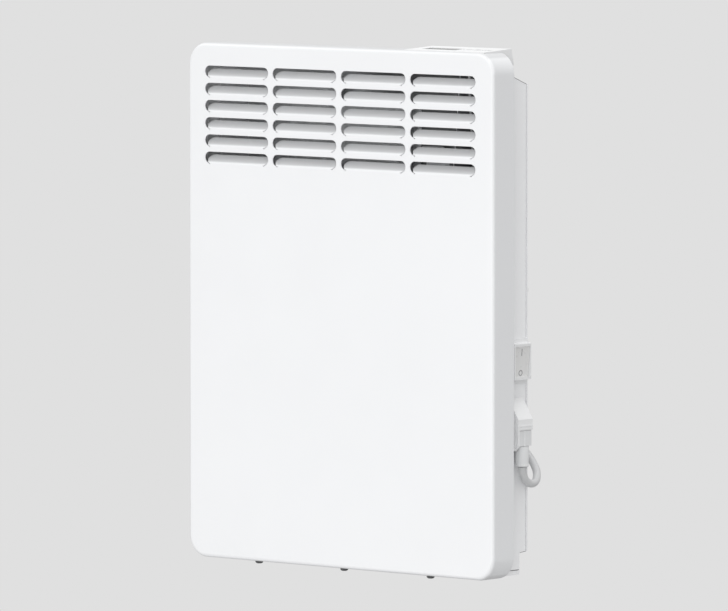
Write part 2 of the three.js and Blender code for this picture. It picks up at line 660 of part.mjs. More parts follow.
function rearCasing() {
  const coverGap = COVER_SHEET + LEDGE_GAP;
  const shell = alongX(casingProfile(0, 0), -CASING_X, CASING_X);
  const lipX = CASING_X + CASING_REAR_LIP;
  const rearLip = blockAt([-lipX, lipX], [CASING_REAR, CASING_DEPTH], [CASING_STEP_Z, CASING_ROOF_Z]);
  const hollow = alongX(casingProfile(CASING_SHEET, 2), -CASING_INNER_X, CASING_INNER_X);
  const sheet = roundedRect(-WIDTH / 2 + coverGap, WIDTH / 2 - coverGap, -HEIGHT / 2 + coverGap,
    HEIGHT / 2 - coverGap, COVER_CORNER - coverGap);
  const ledgeYs = [depthToY(LEDGE_DEPTH), depthToY(LEDGE_DEPTH + CASING_SHEET)];
  const ledge = cut(alongY(sheet, ...ledgeYs, 8),
    block([-WIDTH, WIDTH], [-DEPTH, 0], [-HEIGHT, CASING_BOTTOM_Z]),
    blockAt([CONTROL_LEFT - 1, CONTROL_RIGHT + 1], [0, DEPTH], [CARRIER_Z - GAP, HEIGHT]));
  const hookSlots = [-1, 1].map((side) => {
    const x = side * HOOK_SPACING;
    const reach = HOOK_WIDTH / 2 + HOOK_SIDE_GAP;
    return blockAt([x - reach, x + reach], [CASING_REAR - CASING_SHEET, CASING_DEPTH + CASING_SHEET],
      [HOOK_Z + GAP - HOOK_TIP - HOOK_DROP_ROOM, HOOK_Z + GAP]);
  });
  const switchHole = blockAt([CASING_INNER_X - 1, CASING_X + 1],
    [SWITCH_DEPTH - SWITCH_BODY_WIDTH / 2 - GAP, SWITCH_DEPTH + SWITCH_BODY_WIDTH / 2 + GAP],
    [SWITCH_Z - SWITCH_BODY_HEIGHT / 2 - GAP, SWITCH_Z + SWITCH_BODY_HEIGHT / 2 + GAP]);
  const leadHole = rod('x', CORD_RADIUS + DUCT_CLEARANCE, 3 * CASING_SHEET,
    [CASING_INNER_X - CASING_SHEET, depthToY(RELIEF_DEPTH), LEAD_HOLE_Z]);
  return cut(join(shell, rearLip, ledge), hollow, ...hookSlots, switchHole, leadHole, cableHole());
}

// For the display's cable: through the casing's roof and the floor of the control carrier.
function cableHole() {
  const start = roofZ(CABLE_HOLE_DEPTH) - 4;
  return rod('z', CABLE_HOLE_RADIUS, DISPLAY_BOARD_Z - start,
    [CABLE_HOLE_X, depthToY(CABLE_HOLE_DEPTH), start], 16);
}

function inletTray() {
  const xs = [-CASING_X, CASING_X];
  const outer = blockAt(xs, [INLET_FRONT_DEPTH, CASING_STEP_DEPTH],
    [INLET_FLOOR_Z, INLET_FLOOR_Z + INLET_RIM]);
  const hollow = blockAt(xs.map((x) => x - Math.sign(x) * CASING_SHEET),
    [INLET_FRONT_DEPTH + CASING_SHEET, CASING_STEP_DEPTH - CASING_SHEET],
    [INLET_FLOOR_Z + CASING_SHEET, INLET_FLOOR_Z + INLET_RIM + 1]);
  const openings = [];
  const reach = CASING_X - INLET_SIDE_BAR;
  const half = Math.floor(reach / INLET_SLOT_PITCH);
  for (let i = -half; i <= half; i++) {
    const x = i * INLET_SLOT_PITCH;
    openings.push(blockAt([x - INLET_SLOT_WIDTH / 2, x + INLET_SLOT_WIDTH / 2],
      [COVER_FLANGE + INLET_FRONT_BAR, CASING_STEP_DEPTH - INLET_REAR_BAR],
      [INLET_FLOOR_Z - 1, INLET_FLOOR_Z + CASING_SHEET + 1]));
  }
  const screwHoles = screwPlaces().map((x) => rod('z', SCREW_SHANK_RADIUS + SCREW_HOLE_GAP,
    3 * CASING_SHEET, [x, depthToY(SCREW_DEPTH), INLET_FLOOR_Z - CASING_SHEET], 12));
  return cut(outer, hollow, ...openings, ...screwHoles);
}

function coverScrew(x) {
  const headTop = -HEIGHT / 2 - GAP;
  const profile = [
    [0, headTop - SCREW_HEAD_HEIGHT],
    [SCREW_HEAD_RADIUS * 0.55, headTop - SCREW_HEAD_HEIGHT],
    [SCREW_HEAD_RADIUS * 0.9, headTop - SCREW_HEAD_HEIGHT * 0.6],
    [SCREW_HEAD_RADIUS, headTop],
    [SCREW_SHANK_RADIUS, headTop],
    [SCREW_SHANK_RADIUS, headTop + SCREW_SHANK_LENGTH - SCREW_SHANK_RADIUS],
    [0, headTop + SCREW_SHANK_LENGTH],
  ];
  return turnedAbout('z', profile, [x, depthToY(SCREW_DEPTH), 0], 16);
}

// ---- Wall bracket --------------------------------------------------------------------------------

function keyhole(x, z) {
  const front = -2 * BRACKET_SHEET;
  const slot = roundedRect(x - KEYHOLE_SLOT, x + KEYHOLE_SLOT, z - KEYHOLE_SLOT,
    z + KEYHOLE_RISE + KEYHOLE_SLOT, KEYHOLE_SLOT - 0.01);
  return join(rod('y', KEYHOLE_RADIUS, 3 * BRACKET_SHEET, [x, front, z], 16),
    alongY(slot, front, BRACKET_SHEET, 3));
}

function wallBracket() {
  const halfWidth = BRACKET_WIDTH / 2;
  const halfHeight = BRACKET_HEIGHT / 2;
  const plate = alongY(roundedRect(-halfWidth, halfWidth, -halfHeight, halfHeight, BRACKET_CORNER),
    -BRACKET_SHEET, 0);
  const flanges = [-1, 1].map((side) => {
    const edges = [side * halfWidth, side * (halfWidth - BRACKET_SHEET)].sort((a, b) => a - b);
    return block(edges, [-BRACKET_FLANGE, 0], [-halfHeight + BRACKET_CORNER, halfHeight - BRACKET_CORNER]);
  });
  const tipY = depthToY(CASING_REAR) - HOOK_REACH;
  const hooks = [-1, 1].map((side) => {
    const xs = [side * HOOK_SPACING - HOOK_WIDTH / 2, side * HOOK_SPACING + HOOK_WIDTH / 2];
    return join(block(xs, [tipY, 0], [HOOK_Z - BRACKET_SHEET, HOOK_Z]),
      block(xs, [tipY, tipY + BRACKET_SHEET], [HOOK_Z - BRACKET_SHEET, HOOK_Z + HOOK_TIP]));
  });
  const footY = depthToY(CASING_DEPTH) + GAP;
  const supports = [-1, 1].map((side) => {
    const xs = [side * SUPPORT_SPACING - HOOK_WIDTH / 2, side * SUPPORT_SPACING + HOOK_WIDTH / 2];
    return join(block(xs, [footY, 0], [SUPPORT_Z, SUPPORT_Z + BRACKET_SHEET]),
      block(xs, [footY, footY + BRACKET_SHEET], [SUPPORT_Z, SUPPORT_Z + SUPPORT_FOOT]));
  });
  const restZ = cordHookZ();
  const cordTipY = COIL_SECOND_Y - CORD_RADIUS - CORD_HOOK_ROOM - BRACKET_SHEET;
  const cordXs = [COIL_X - CORD_HOOK_WIDTH / 2, COIL_X + CORD_HOOK_WIDTH / 2];
  const cordHook = join(block(cordXs, [cordTipY, 0], [restZ - BRACKET_SHEET, restZ]),
    block(cordXs, [cordTipY, cordTipY + BRACKET_SHEET], [restZ - BRACKET_SHEET, restZ + CORD_HOOK_TIP]));
  const keyholes = [-1, 1].flatMap((side) => [-1, 1].map((level) => keyhole(
    side * KEYHOLE_SPACING, level * KEYHOLE_Z)));
  return cut(join(plate, ...flanges, ...hooks, ...supports, cordHook), ...keyholes);
}

function bumper(side) {
  const chamfer = 0.3 * BUMPER_ROUND;
  const profile = [
    [0, 0],
    [BUMPER_RADIUS, 0],
    [BUMPER_RADIUS, BUMPER_THICKNESS - BUMPER_ROUND],
    [BUMPER_RADIUS - chamfer, BUMPER_THICKNESS - chamfer],
    [BUMPER_RADIUS - BUMPER_ROUND, BUMPER_THICKNESS],
    [0, BUMPER_THICKNESS],
  ];
  const seat = [side * (CASING_X - BUMPER_INSET), depthToY(CASING_DEPTH) + GAP, BUMPER_Z];
  return turnedAbout('y', profile, seat, ROUND);
}

// ---- Control unit --------------------------------------------------------------------------------

function keyPlaces() {
  return Array.from({ length: KEY_COUNT }, (_, i) => CONTROL_LEFT + KEY_OFFSET + i * KEY_PITCH);
}

// A wedge between two depths whose top follows the cap's slope at `lift` above it, and whose rear wall
// reaches back by `flare` at the bottom.
function capWedge([x0, x1], [front, rear], bottom, lift, flare = 0) {
  return alongX(polygon([[depthToY(front), bottom], [depthToY(rear + flare), bottom],
    [depthToY(rear), capZ(rear) + lift], [depthToY(front), capZ(front) + lift]]), x0, x1);
}

function squareHole(x, size, zs) {
  const half = size / 2;
  return blockAt([x - half, x + half], [KEY_DEPTH - half, KEY_DEPTH + half], zs);
}

function controlCap() {
  const outer = capWedge([CONTROL_LEFT, CONTROL_RIGHT], [CONTROL_FRONT, CONTROL_REAR], CONTROL_SKIRT_Z, 0,
    CARRIER_OVERHANG);
  const hollow = capWedge([CONTROL_LEFT + CONTROL_WALL, CONTROL_RIGHT - CONTROL_WALL],
    [CONTROL_FRONT + CONTROL_WALL, CONTROL_REAR - CONTROL_WALL], CONTROL_SKIRT_Z, -CONTROL_WALL,
    CARRIER_OVERHANG);
  const recess = capWedge([WINDOW_LEFT, WINDOW_RIGHT], [WINDOW_FRONT, WINDOW_REAR], CONTROL_SKIRT_Z, 1);
  const floor = capWedge([WINDOW_LEFT - 1, WINDOW_RIGHT + 1], [WINDOW_FRONT - 1, WINDOW_REAR + 1],
    CONTROL_SKIRT_Z, -WINDOW_RECESS - WINDOW_THICKNESS - GAP);
  const seat = cut(recess, floor);
  const sight = blockAt([WINDOW_LEFT + WINDOW_LIP, WINDOW_RIGHT - WINDOW_LIP],
    [WINDOW_FRONT + WINDOW_LIP, WINDOW_REAR - WINDOW_LIP], [CONTROL_SKIRT_Z, HEIGHT]);
  const keyHoles = keyPlaces().map((x) => squareHole(x, KEY_SIZE + 2 * GAP, [CONTROL_SKIRT_Z, HEIGHT]));
  return cut(outer, hollow, seat, sight, ...keyHoles);
}

function displayWindow() {
  const xs = [WINDOW_LEFT + GAP, WINDOW_RIGHT - GAP];
  const depths = [WINDOW_FRONT + GAP, WINDOW_REAR - GAP];
  return cut(capWedge(xs, depths, CONTROL_SKIRT_Z, -WINDOW_RECESS),
    capWedge([xs[0] - 1, xs[1] + 1], [depths[0] - 1, depths[1] + 1], CONTROL_SKIRT_Z - 1,
      -WINDOW_RECESS - WINDOW_THICKNESS));
}

const collarTopZ = capZ(KEY_DEPTH - KEY_SIZE / 2 - KEY_COLLAR) - CONTROL_WALL - GAP;
const keyBottomZ = collarTopZ - KEY_COLLAR_THICKNESS - KEY_STEM;

function key(x) {
  const half = KEY_SIZE / 2;
  const y = depthToY(KEY_DEPTH);
  const head = roundedRect(x - half, x + half, y - half, y + half, KEY_CORNER);
  const top = capZ(KEY_DEPTH) + KEY_PROUD;
  const collar = squareHole(x, KEY_SIZE + 2 * KEY_COLLAR, [collarTopZ - KEY_COLLAR_THICKNESS, collarTopZ]);
  const stem = rod('z', KEY_STEM_RADIUS, KEY_STEM + 0.5, [x, y, keyBottomZ], 12);
  return join(alongZ(head, collarTopZ - 0.5, top, 4), collar, stem);
}

function displayBoard() {
  const plate = blockAt([CONTROL_LEFT + DISPLAY_BOARD_MARGIN, CONTROL_RIGHT - DISPLAY_BOARD_MARGIN],
    [CONTROL_FRONT + DISPLAY_BOARD_MARGIN, CONTROL_REAR - DISPLAY_BOARD_MARGIN],
    [DISPLAY_BOARD_Z, BOARD_TOP_Z]);
  const domeTop = keyBottomZ - KEY_TRAVEL - GAP;
  const domes = keyPlaces().map((x) => rod('z', DOME_RADIUS, domeTop - BOARD_TOP_Z + 0.5,
    [x, depthToY(KEY_DEPTH), BOARD_TOP_Z - 0.5], 12));
  return join(plate, ...domes);
}

function displayModule() {
  const top = capZ(WINDOW_FRONT) - WINDOW_RECESS - WINDOW_THICKNESS - 2 * GAP;
  return blockAt([WINDOW_LEFT + MODULE_MARGIN, WINDOW_RIGHT - MODULE_MARGIN],
    [WINDOW_FRONT + MODULE_MARGIN, WINDOW_REAR - MODULE_MARGIN], [BOARD_TOP_Z + GAP, top]);
}

function controlCarrier() {
  const xs = [CONTROL_LEFT, CONTROL_RIGHT];
  const rim = blockAt(xs, [CONTROL_FRONT, CARRIER_REAR], [CARRIER_Z, CONTROL_SKIRT_Z - GAP]);
  const hollow = blockAt([CONTROL_LEFT + CONTROL_WALL, CONTROL_RIGHT - CONTROL_WALL],
    [CONTROL_FRONT + CONTROL_WALL, CARRIER_REAR - CONTROL_WALL], [CARRIER_Z + CARRIER_FLOOR, HEIGHT]);
  const postXs = [CONTROL_LEFT + CARRIER_POST_INSET, CONTROL_RIGHT - CARRIER_POST_INSET];
  const half = CARRIER_POST_WIDTH / 2;
  const depths = [CARRIER_POST_FRONT, CARRIER_POST_FRONT + CARRIER_POST_DEPTH];
  const roofClear = roofZ(CARRIER_POST_FRONT) + GAP;
  const feet = postXs.map((x) => blockAt([x - half, x + half], depths, [roofClear, CARRIER_Z + 0.5]));
  const boardPosts = postXs.map((x) => blockAt([x - half, x + half], depths,
    [CARRIER_Z + 0.5, DISPLAY_BOARD_Z - GAP]));
  return join(cut(rim, hollow, cableHole()), ...feet, ...boardPosts);
}

// ---- Rocker switch -------------------------------------------------------------------------------

const rockerEnd = Math.hypot(ROCKER_FACE - ROCKER_EDGE, ROCKER_HEIGHT / 2);

function switchHousing() {
  const bezelX = CASING_X + GAP;
  const halfWidth = BEZEL_WIDTH / 2;
  const halfHeight = BEZEL_HEIGHT / 2;
  const y = depthToY(SWITCH_DEPTH);
  const bezel = alongX(roundedRect(y - halfWidth, y + halfWidth, SWITCH_Z - halfHeight,
    SWITCH_Z + halfHeight, BEZEL_CORNER), bezelX, bezelX + BEZEL_THICKNESS, 3);
  const bodyHalf = SWITCH_BODY_WIDTH / 2;
  const body = block([PIVOT_X - SWITCH_BODY_LENGTH, bezelX + BEZEL_THICKNESS / 2],
    [y - bodyHalf, y + bodyHalf],
    [SWITCH_Z - SWITCH_BODY_HEIGHT / 2, SWITCH_Z + SWITCH_BODY_HEIGHT / 2]);
  const pocketHalf = ROCKER_WIDTH / 2 + ROCKER_PLAY;
  const pocketReach = rockerEnd + ROCKER_PLAY;
  const pocket = block([PIVOT_X - POCKET_FLOOR, bezelX + BEZEL_THICKNESS + 2 * SURROUND_REACH],
    [y - pocketHalf, y + pocketHalf], [SWITCH_Z - pocketReach, SWITCH_Z + pocketReach]);
  const bore = rod('y', ROCKER_PIN_RADIUS + ROCKER_PLAY, 2 * bodyHalf + 2,
    [PIVOT_X, y - bodyHalf - 1, SWITCH_Z], 16);
  const surroundRing = (x, widening) => {
    const across = pocketHalf + SURROUND_WALL + widening;
    const up = pocketReach + SURROUND_WALL + widening;
    return [[x, y - across, SWITCH_Z - up], [x, y + across, SWITCH_Z - up],
      [x, y + across, SWITCH_Z + up], [x, y - across, SWITCH_Z + up]];
  };
  const surround = loft([surroundRing(bezelX + BEZEL_THICKNESS / 2, SURROUND_DRAFT),
    surroundRing(bezelX + BEZEL_THICKNESS + SURROUND_REACH, 0)]);
  return cut(join(bezel, body, surround), pocket, bore);
}

function rocker() {
  const half = ROCKER_WIDTH / 2;
  const reach = ROCKER_HEIGHT / 2;
  const [keelReach, keelHalf] = ROCKER_KEEL;
  const outline = new THREE.Shape();
  const corner = Math.atan2(reach, ROCKER_FACE - ROCKER_EDGE);
  const shoulder = Math.acos(ROCKER_HEEL / rockerEnd);
  outline.moveTo(ROCKER_FACE, ROCKER_EDGE - reach);
  outline.lineTo(ROCKER_FACE - ROCKER_DISH / 2, 0);
  outline.lineTo(ROCKER_FACE, reach - ROCKER_EDGE);
  outline.absarc(0, 0, rockerEnd, corner, shoulder, false);
  outline.lineTo(-keelReach, keelHalf);
  outline.lineTo(-keelReach, -keelHalf);
  outline.absarc(0, 0, rockerEnd, -shoulder, -corner, false);
  const body = alongY(outline, -half, half, 5);
  const dish = block([ROCKER_FACE - ROCKER_DISH, ROCKER_FACE + 1],
    [-half + ROCKER_RIM, half - ROCKER_RIM],
    [-reach + ROCKER_EDGE + ROCKER_RIM, reach - ROCKER_EDGE - ROCKER_RIM]);
  const pin = rod('y', ROCKER_PIN_RADIUS, ROCKER_WIDTH + 2 * ROCKER_PIN_LENGTH,
    [0, -half - ROCKER_PIN_LENGTH, 0], 16);
  const geometry = toGeometry(join(cut(body, dish), pin));
  geometry.rotateY(radians(ROCKER_TILT));
  return geometry.translate(PIVOT_X, depthToY(SWITCH_DEPTH), SWITCH_Z);
}

function switchBlade(level) {
  const back = PIVOT_X - SWITCH_BODY_LENGTH - GAP;
  const z = SWITCH_Z + level * BLADE_SPACING;
  const y = depthToY(SWITCH_DEPTH);
  return block([back - BLADE_LENGTH, back], [y - BLADE_WIDTH / 2, y + BLADE_WIDTH / 2],
    [z - BLADE_THICKNESS / 2, z + BLADE_THICKNESS / 2]);
}

// ---- Cord gland ----------------------------------------------------------------------------------

function glandHood() {
  const inner = CASING_X + GAP;
  const outer = CASING_X + GLAND_REACH;
  const profile = polygon([
    [inner, GLAND_BOTTOM_Z], [outer - GLAND_FOOT, GLAND_BOTTOM_Z], [outer, GLAND_CLAMP_BOTTOM_Z],
    [outer, GLAND_TOP_Z - GLAND_SLOPE], [inner + GLAND_EDGE, GLAND_TOP_Z], [inner, GLAND_TOP_Z],
  ]);
  const body = alongY(profile, depthToY(GLAND_FRONT), depthToY(GLAND_REAR));
  const clampSpace = blockAt([inner + GLAND_BACK_WALL, outer + 1],
    [GLAND_FRONT + GLAND_WALL, GLAND_REAR + 1], [GLAND_BOTTOM_Z - 1, GLAND_CLAMP_TOP_Z]);
  const ductRadius = CORD_RADIUS + DUCT_CLEARANCE;
  const bore = rod('z', ductRadius, LEAD_HOLE_Z + ductRadius - GLAND_CLAMP_TOP_Z + 1,
    [RELIEF_X, depthToY(RELIEF_DEPTH), GLAND_CLAMP_TOP_Z - 1], 20);
  const cross = rod('x', ductRadius, RELIEF_X - inner + 1,
    [inner - 1, depthToY(RELIEF_DEPTH), LEAD_HOLE_Z], 20);
  const ridges = [0, 1].map((i) => {
    const z = GLAND_CLAMP_TOP_Z + GLAND_RIDGE_HEIGHT + i * GLAND_RIDGE_PITCH;
    return blockAt([outer - 1, outer + GLAND_RIDGE], [GLAND_FRONT + GLAND_WALL, GLAND_REAR],
      [z, z + GLAND_RIDGE_HEIGHT]);
  });
  const slopeEndZ = GLAND_TOP_Z - GLAND_SLOPE;
  const rearY = depthToY(GLAND_REAR);
  const corner = [[inner + GLAND_EDGE, rearY, GLAND_TOP_Z], [outer, rearY, slopeEndZ],
    [outer, rearY - GLAND_CHAMFER, slopeEndZ]];
  const chamfer = loft([corner, corner.map(([x, y, z]) => [x + outer, y + outer, z + outer])]);
  const throat = rod('z', RELIEF_TOP_RADIUS + GAP, GLAND_CLAMP_BOTTOM_Z - GLAND_BOTTOM_Z + 1,
    [RELIEF_X, depthToY(RELIEF_DEPTH), GLAND_BOTTOM_Z - 1], 20);
  return cut(join(body, ...ridges), chamfer, clampSpace, bore, cross, throat);
}

function glandClamp() {
  const inner = CASING_X + GLAND_BACK_WALL + 2 * GAP;
  const outer = CASING_X + GLAND_REACH - CLAMP_RECESS;
  const y0 = depthToY(GLAND_FRONT + GLAND_WALL + GAP);
  const y1 = depthToY(GLAND_REAR - CLAMP_SETBACK);
  const stepY = depthToY(CLAMP_STEP_DEPTH);
  const plan = new THREE.Shape();
  plan.moveTo(inner, y0);
  plan.lineTo(outer - CLAMP_STEP, y0);
  plan.lineTo(outer - CLAMP_STEP, stepY);
  plan.lineTo(outer, stepY + CLAMP_STEP);
  plan.lineTo(outer, y1 - CLAMP_ROUND);
  plan.quadraticCurveTo(outer, y1, outer - CLAMP_ROUND, y1);
  plan.lineTo(inner, y1);
  const body = alongZ(plan, GLAND_CLAMP_BOTTOM_Z, GLAND_CLAMP_TOP_Z - GAP, 5);
  const bore = rod('z', RELIEF_NECK_RADIUS + GAP, GLAND_CLAMP_HEIGHT + 2,
    [RELIEF_X, depthToY(RELIEF_DEPTH), GLAND_CLAMP_BOTTOM_Z - 1], 20);
  return cut(body, bore);
}

function strainRelief() {
  const lipRadius = RELIEF_END_RADIUS + RELIEF_LIP / 5;
  const chamfer = RELIEF_LIP / 3;
  const neckTop = GLAND_CLAMP_TOP_Z - RELIEF_NECK_TOP;
  return turnedAbout('z', [
    [0, RELIEF_BOTTOM_Z],
    [lipRadius - chamfer, RELIEF_BOTTOM_Z],
    [lipRadius, RELIEF_BOTTOM_Z + chamfer],
    [lipRadius, RELIEF_BOTTOM_Z + RELIEF_LIP],
    [RELIEF_END_RADIUS, RELIEF_BOTTOM_Z + RELIEF_LIP + lipRadius - RELIEF_END_RADIUS],
    [RELIEF_TOP_RADIUS, GLAND_CLAMP_BOTTOM_Z - GAP],
    [RELIEF_NECK_RADIUS, GLAND_CLAMP_BOTTOM_Z - GAP],
    [RELIEF_NECK_RADIUS, neckTop],
    [0, neckTop],
  ], [RELIEF_X, depthToY(RELIEF_DEPTH), 0], 20);
}

// ---- Mains lead ----------------------------------------------------------------------------------

// The free stretch: down out of the relief, round towards the wall and up behind the casing.
const LEAD_ROUTE = [
  [165.3, -51.8, -130.3], [165.3, -51.5, -133.2], [165.3, -50, -137.6], [165.2, -47.2, -141.5],
  [165.1, -43.4, -144.2], [164.8, -39, -145.5], [164.1, -34.5, -145.2], [162.6, -30, -143.6],
  [160.1, -25.7, -141.2], [156.9, -21.8, -138.4], [153.1, -18.4, -135.3], [148.7, -15.6, -131.9],
  [143.9, -13.5, -128], [138.6, -12.3, -123.5], [132.8, -12, -118.5], [126.3, -12, -112.4],
  [119.3, -12, -105.5], [113.1, -12, -99.3],
];

// The coil's centre line: in along one layer, over to the next in the half turn at the middle, and out.
function coilRoute() {
  const total = 2 * COIL_TURNS_PER_LAYER;
  const steps = Math.round(total * COIL_STEPS);
  const points = [];
  for (let i = 0; i <= steps; i++) {
    const turn = (i / steps) * total;
    const left = Math.abs(turn - COIL_TURNS_PER_LAYER);
    const radius = COIL_INNER_RADIUS + COIL_TURN_PITCH * left;
    const climb = THREE.MathUtils.smoothstep(
      turn, COIL_TURNS_PER_LAYER - 0.25, COIL_TURNS_PER_LAYER + 0.25);
    const angle = radians(COIL_START_ANGLE) + 2 * Math.PI * turn;
    points.push([COIL_X + radius * Math.cos(angle), COIL_FIRST_Y - COIL_LAYER_PITCH * climb,
      COIL_Z + radius * Math.sin(angle)]);
  }
  const start = coilEnd(0);
  const end = coilEnd(total);
  return [start.at(-CORD_DIAMETER), ...points, end.at(CORD_DIAMETER)];
}

// An end of the coil after `turn` turns: at(run) is the point that lies `run` along the straight from it.
function coilEnd(turn) {
  const angle = radians(COIL_START_ANGLE) + 2 * Math.PI * turn;
  const y = turn > 0 ? COIL_SECOND_Y : COIL_FIRST_Y;
  const [cos, sin] = [Math.cos(angle), Math.sin(angle)];
  return {
    out: [cos, 0, sin],
    at: (run) => [COIL_X + COIL_OUTER_RADIUS * cos - run * sin, y,
      COIL_Z + COIL_OUTER_RADIUS * sin + run * cos],
  };
}

// The top of the bracket's hook for the coil: just under the lowest turn that crosses it.
function cordHookZ() {
  const reach = CORD_HOOK_WIDTH / 2 + CORD_RADIUS;
  const over = coilRoute().filter(([x, , z]) => z > COIL_Z && Math.abs(x - COIL_X) < reach);
  return Math.min(...over.map(([, , z]) => z)) - CORD_RADIUS - GAP;
}

// One unbroken tube of equal sections along a list of points, closed at both ends.
function sweep(points, radius, sides) {
  const at = points.map(([x, y, z]) => new THREE.Vector3(x, y, z));
  const rings = at.map((point, i) => {
    const before = at[Math.max(i - 1, 0)];
    const after = at[Math.min(i + 1, at.length - 1)];
    const ahead = new THREE.Vector3().subVectors(after, before).normalize();
    const side = new THREE.Vector3(0, 1, 0).addScaledVector(ahead, -ahead.y).normalize();
    const up = new THREE.Vector3().crossVectors(ahead, side);
    return Array.from({ length: sides }, (_, k) => {
      const angle = (2 * Math.PI * k) / sides;
      const p = point.clone().addScaledVector(side, radius * Math.cos(angle))
        .addScaledVector(up, radius * Math.sin(angle));
      return [p.x, p.y, p.z];
    });
  });
  return loft(rings);
}

// The least distance between the surfaces of turns that lie beside or on each other.
function leastGap(points, diameter, stepsPerTurn) {
  let least = Infinity;
  for (let i = 0; i < points.length; i++) {
    for (let j = i + Math.round(stepsPerTurn / 2); j < points.length; j++) {
      const [a, b] = [points[i], points[j]];
      least = Math.min(least, Math.hypot(a[0] - b[0], a[1] - b[1], a[2] - b[2]) - diameter);
    }
  }
  return least;
}

// A flat strap round the bundle of turns, at one place on the coil.
function coilTie() {
  const room = CORD_RADIUS + TIE_SLACK;
  const [r0, r1] = [COIL_INNER_RADIUS - room, COIL_OUTER_RADIUS + room];
  const [y0, y1] = [COIL_SECOND_Y - room, COIL_FIRST_Y + room];
  const t = TIE_THICKNESS;
  const strap = roundedRect(r0 - t, r1 + t, y0 - t, y1 + t, TIE_CORNER + t);
  strap.holes.push(roundedRect(r0, r1, y0, y1, TIE_CORNER, new THREE.Path()));
  const geometry = toGeometry(alongZ(strap, -TIE_WIDTH / 2, TIE_WIDTH / 2, 3));
  geometry.rotateY(-radians(TIE_ANGLE));
  return geometry.translate(COIL_X, 0, COIL_Z);
}

// A core that leaves the jacket at the coil's outer end, `turn` degrees round the cord's axis.
function core(turn) {
  const end = coilEnd(2 * COIL_TURNS_PER_LAYER);
  const [sideways, across] = [Math.cos(radians(turn)), Math.sin(radians(turn))];
  const start = CORD_DIAMETER + GAP;
  const at = (run, spread) => {
    const [x, y, z] = end.at(start + run);
    const offset = CORE_OFFSET + spread;
    return [x + end.out[0] * sideways * offset, y + across * offset, z + end.out[2] * sideways * offset];
  };
  const route = [at(0, 0), at(CORE_STRAIGHT, 0), at(CORE_LENGTH / 2, CORE_SPREAD / 2),
    at(CORE_LENGTH - CORE_STRAIGHT, CORE_SPREAD), at(CORE_LENGTH, CORE_SPREAD)];
  const ferrule = [at(CORE_LENGTH + GAP, CORE_SPREAD), at(CORE_LENGTH + GAP + FERRULE_LENGTH, CORE_SPREAD)];
  return { jacket: tube(route, CORE_DIAMETER / 2, 8, 8), ferrule: tube(ferrule, FERRULE_RADIUS, 1, 8) };
}

// ---- Heating element -----------------------------------------------------------------------------

const elementY = depthToY(ELEMENT_DEPTH);

function finnedProfile() {
  const length = ELEMENT_RIGHT - ELEMENT_LEFT;
  const core = rod('x', ELEMENT_CORE_RADIUS, length, [ELEMENT_LEFT, 0, 0], 24);
  const arms = [0, 1, 2, 3].map((quarter) => {
    const half = ELEMENT_FIN_THICKNESS / 2;
    const pieces = [block([ELEMENT_LEFT, ELEMENT_RIGHT], [0, ELEMENT_FIN_REACH], [-half, half])];
    for (let i = 0; i < ELEMENT_RIBS; i++) {
      const reach = ELEMENT_FIN_REACH - i * ELEMENT_RIB_PITCH;
      const span = (ELEMENT_RIB_LENGTH / 2) * (1 - ELEMENT_RIB_TAPER * i);
      pieces.push(block([ELEMENT_LEFT, ELEMENT_RIGHT],
        [reach - ELEMENT_RIB_THICKNESS, reach], [-span, span]));
    }
    return join(...pieces).rotate([45 + 90 * quarter, 0, 0]);
  });
  const bore = rod('x', ROD_RADIUS + GAP, length + 2, [ELEMENT_LEFT - 1, 0, 0], 20);
  return cut(join(core, ...arms), bore).translate([0, elementY, ELEMENT_Z]);
}

const rodLeft = END_PLATE_X - INNER_SHEET - ROD_END;
const rodRight = PARTITION_X + INNER_SHEET + ROD_END;

function elementRod() {
  return rod('x', ROD_RADIUS, rodRight - rodLeft, [rodLeft, elementY, ELEMENT_Z], 20);
}

function terminalPin(x, away) {
  const start = away > 0 ? x + GAP : x - GAP - TERMINAL_LENGTH;
  return rod('x', TERMINAL_RADIUS, TERMINAL_LENGTH, [start, elementY, ELEMENT_Z], 12);
}

// A flanged bush that carries the rod in a plate: `plateX` is the plate's face that the flange meets.
function bush(plateX, away) {
  const through = INNER_SHEET + BUSH_NECK;
  const profile = [
    [ROD_RADIUS + GAP, -through], [BUSH_RADIUS, -through], [BUSH_RADIUS, GAP],
    [BUSH_FLANGE, GAP], [BUSH_FLANGE, GAP + BUSH_FLANGE_THICKNESS],
    [ROD_RADIUS + GAP, GAP + BUSH_FLANGE_THICKNESS], [ROD_RADIUS + GAP, -through],
  ];
  const geometry = turned(profile, 24).rotateY(away * Math.PI / 2);
  return toSolid(geometry.translate(plateX, elementY, ELEMENT_Z));
}

function bushHole(x) {
  return rod('x', BUSH_RADIUS + GAP, 4 * INNER_SHEET, [x - 2 * INNER_SHEET, elementY, ELEMENT_Z], 24);
}

function partitionPlate() {
  const bottom = CASING_STEP_Z + PARTITION_RISE;
  const clear = CASING_SHEET / Math.cos(radians(CASING_ROOF_TILT)) + GAP;
  const underRoof = (depth) => roofZ(depth) - clear;
  const outline = polygon([
    [depthToY(PARTITION_LOW_FRONT), bottom],
    [depthToY(FOOT_REAR), bottom],
    [depthToY(FOOT_REAR), underRoof(FOOT_REAR)],
    [depthToY(PARTITION_TOP_FRONT), underRoof(PARTITION_TOP_FRONT)],
    [depthToY(PARTITION_LOW_FRONT), PARTITION_KNEE_Z],
  ]);
  const plate = alongX(outline, PARTITION_X, PARTITION_X + INNER_SHEET);
  const flange = blockAt([PARTITION_X, PARTITION_X + FOOT_WIDTH], [FOOT_REAR - INNER_SHEET, FOOT_REAR],
    [bottom, underRoof(FOOT_REAR)]);
  return cut(join(plate, flange), bushHole(PARTITION_X));
}

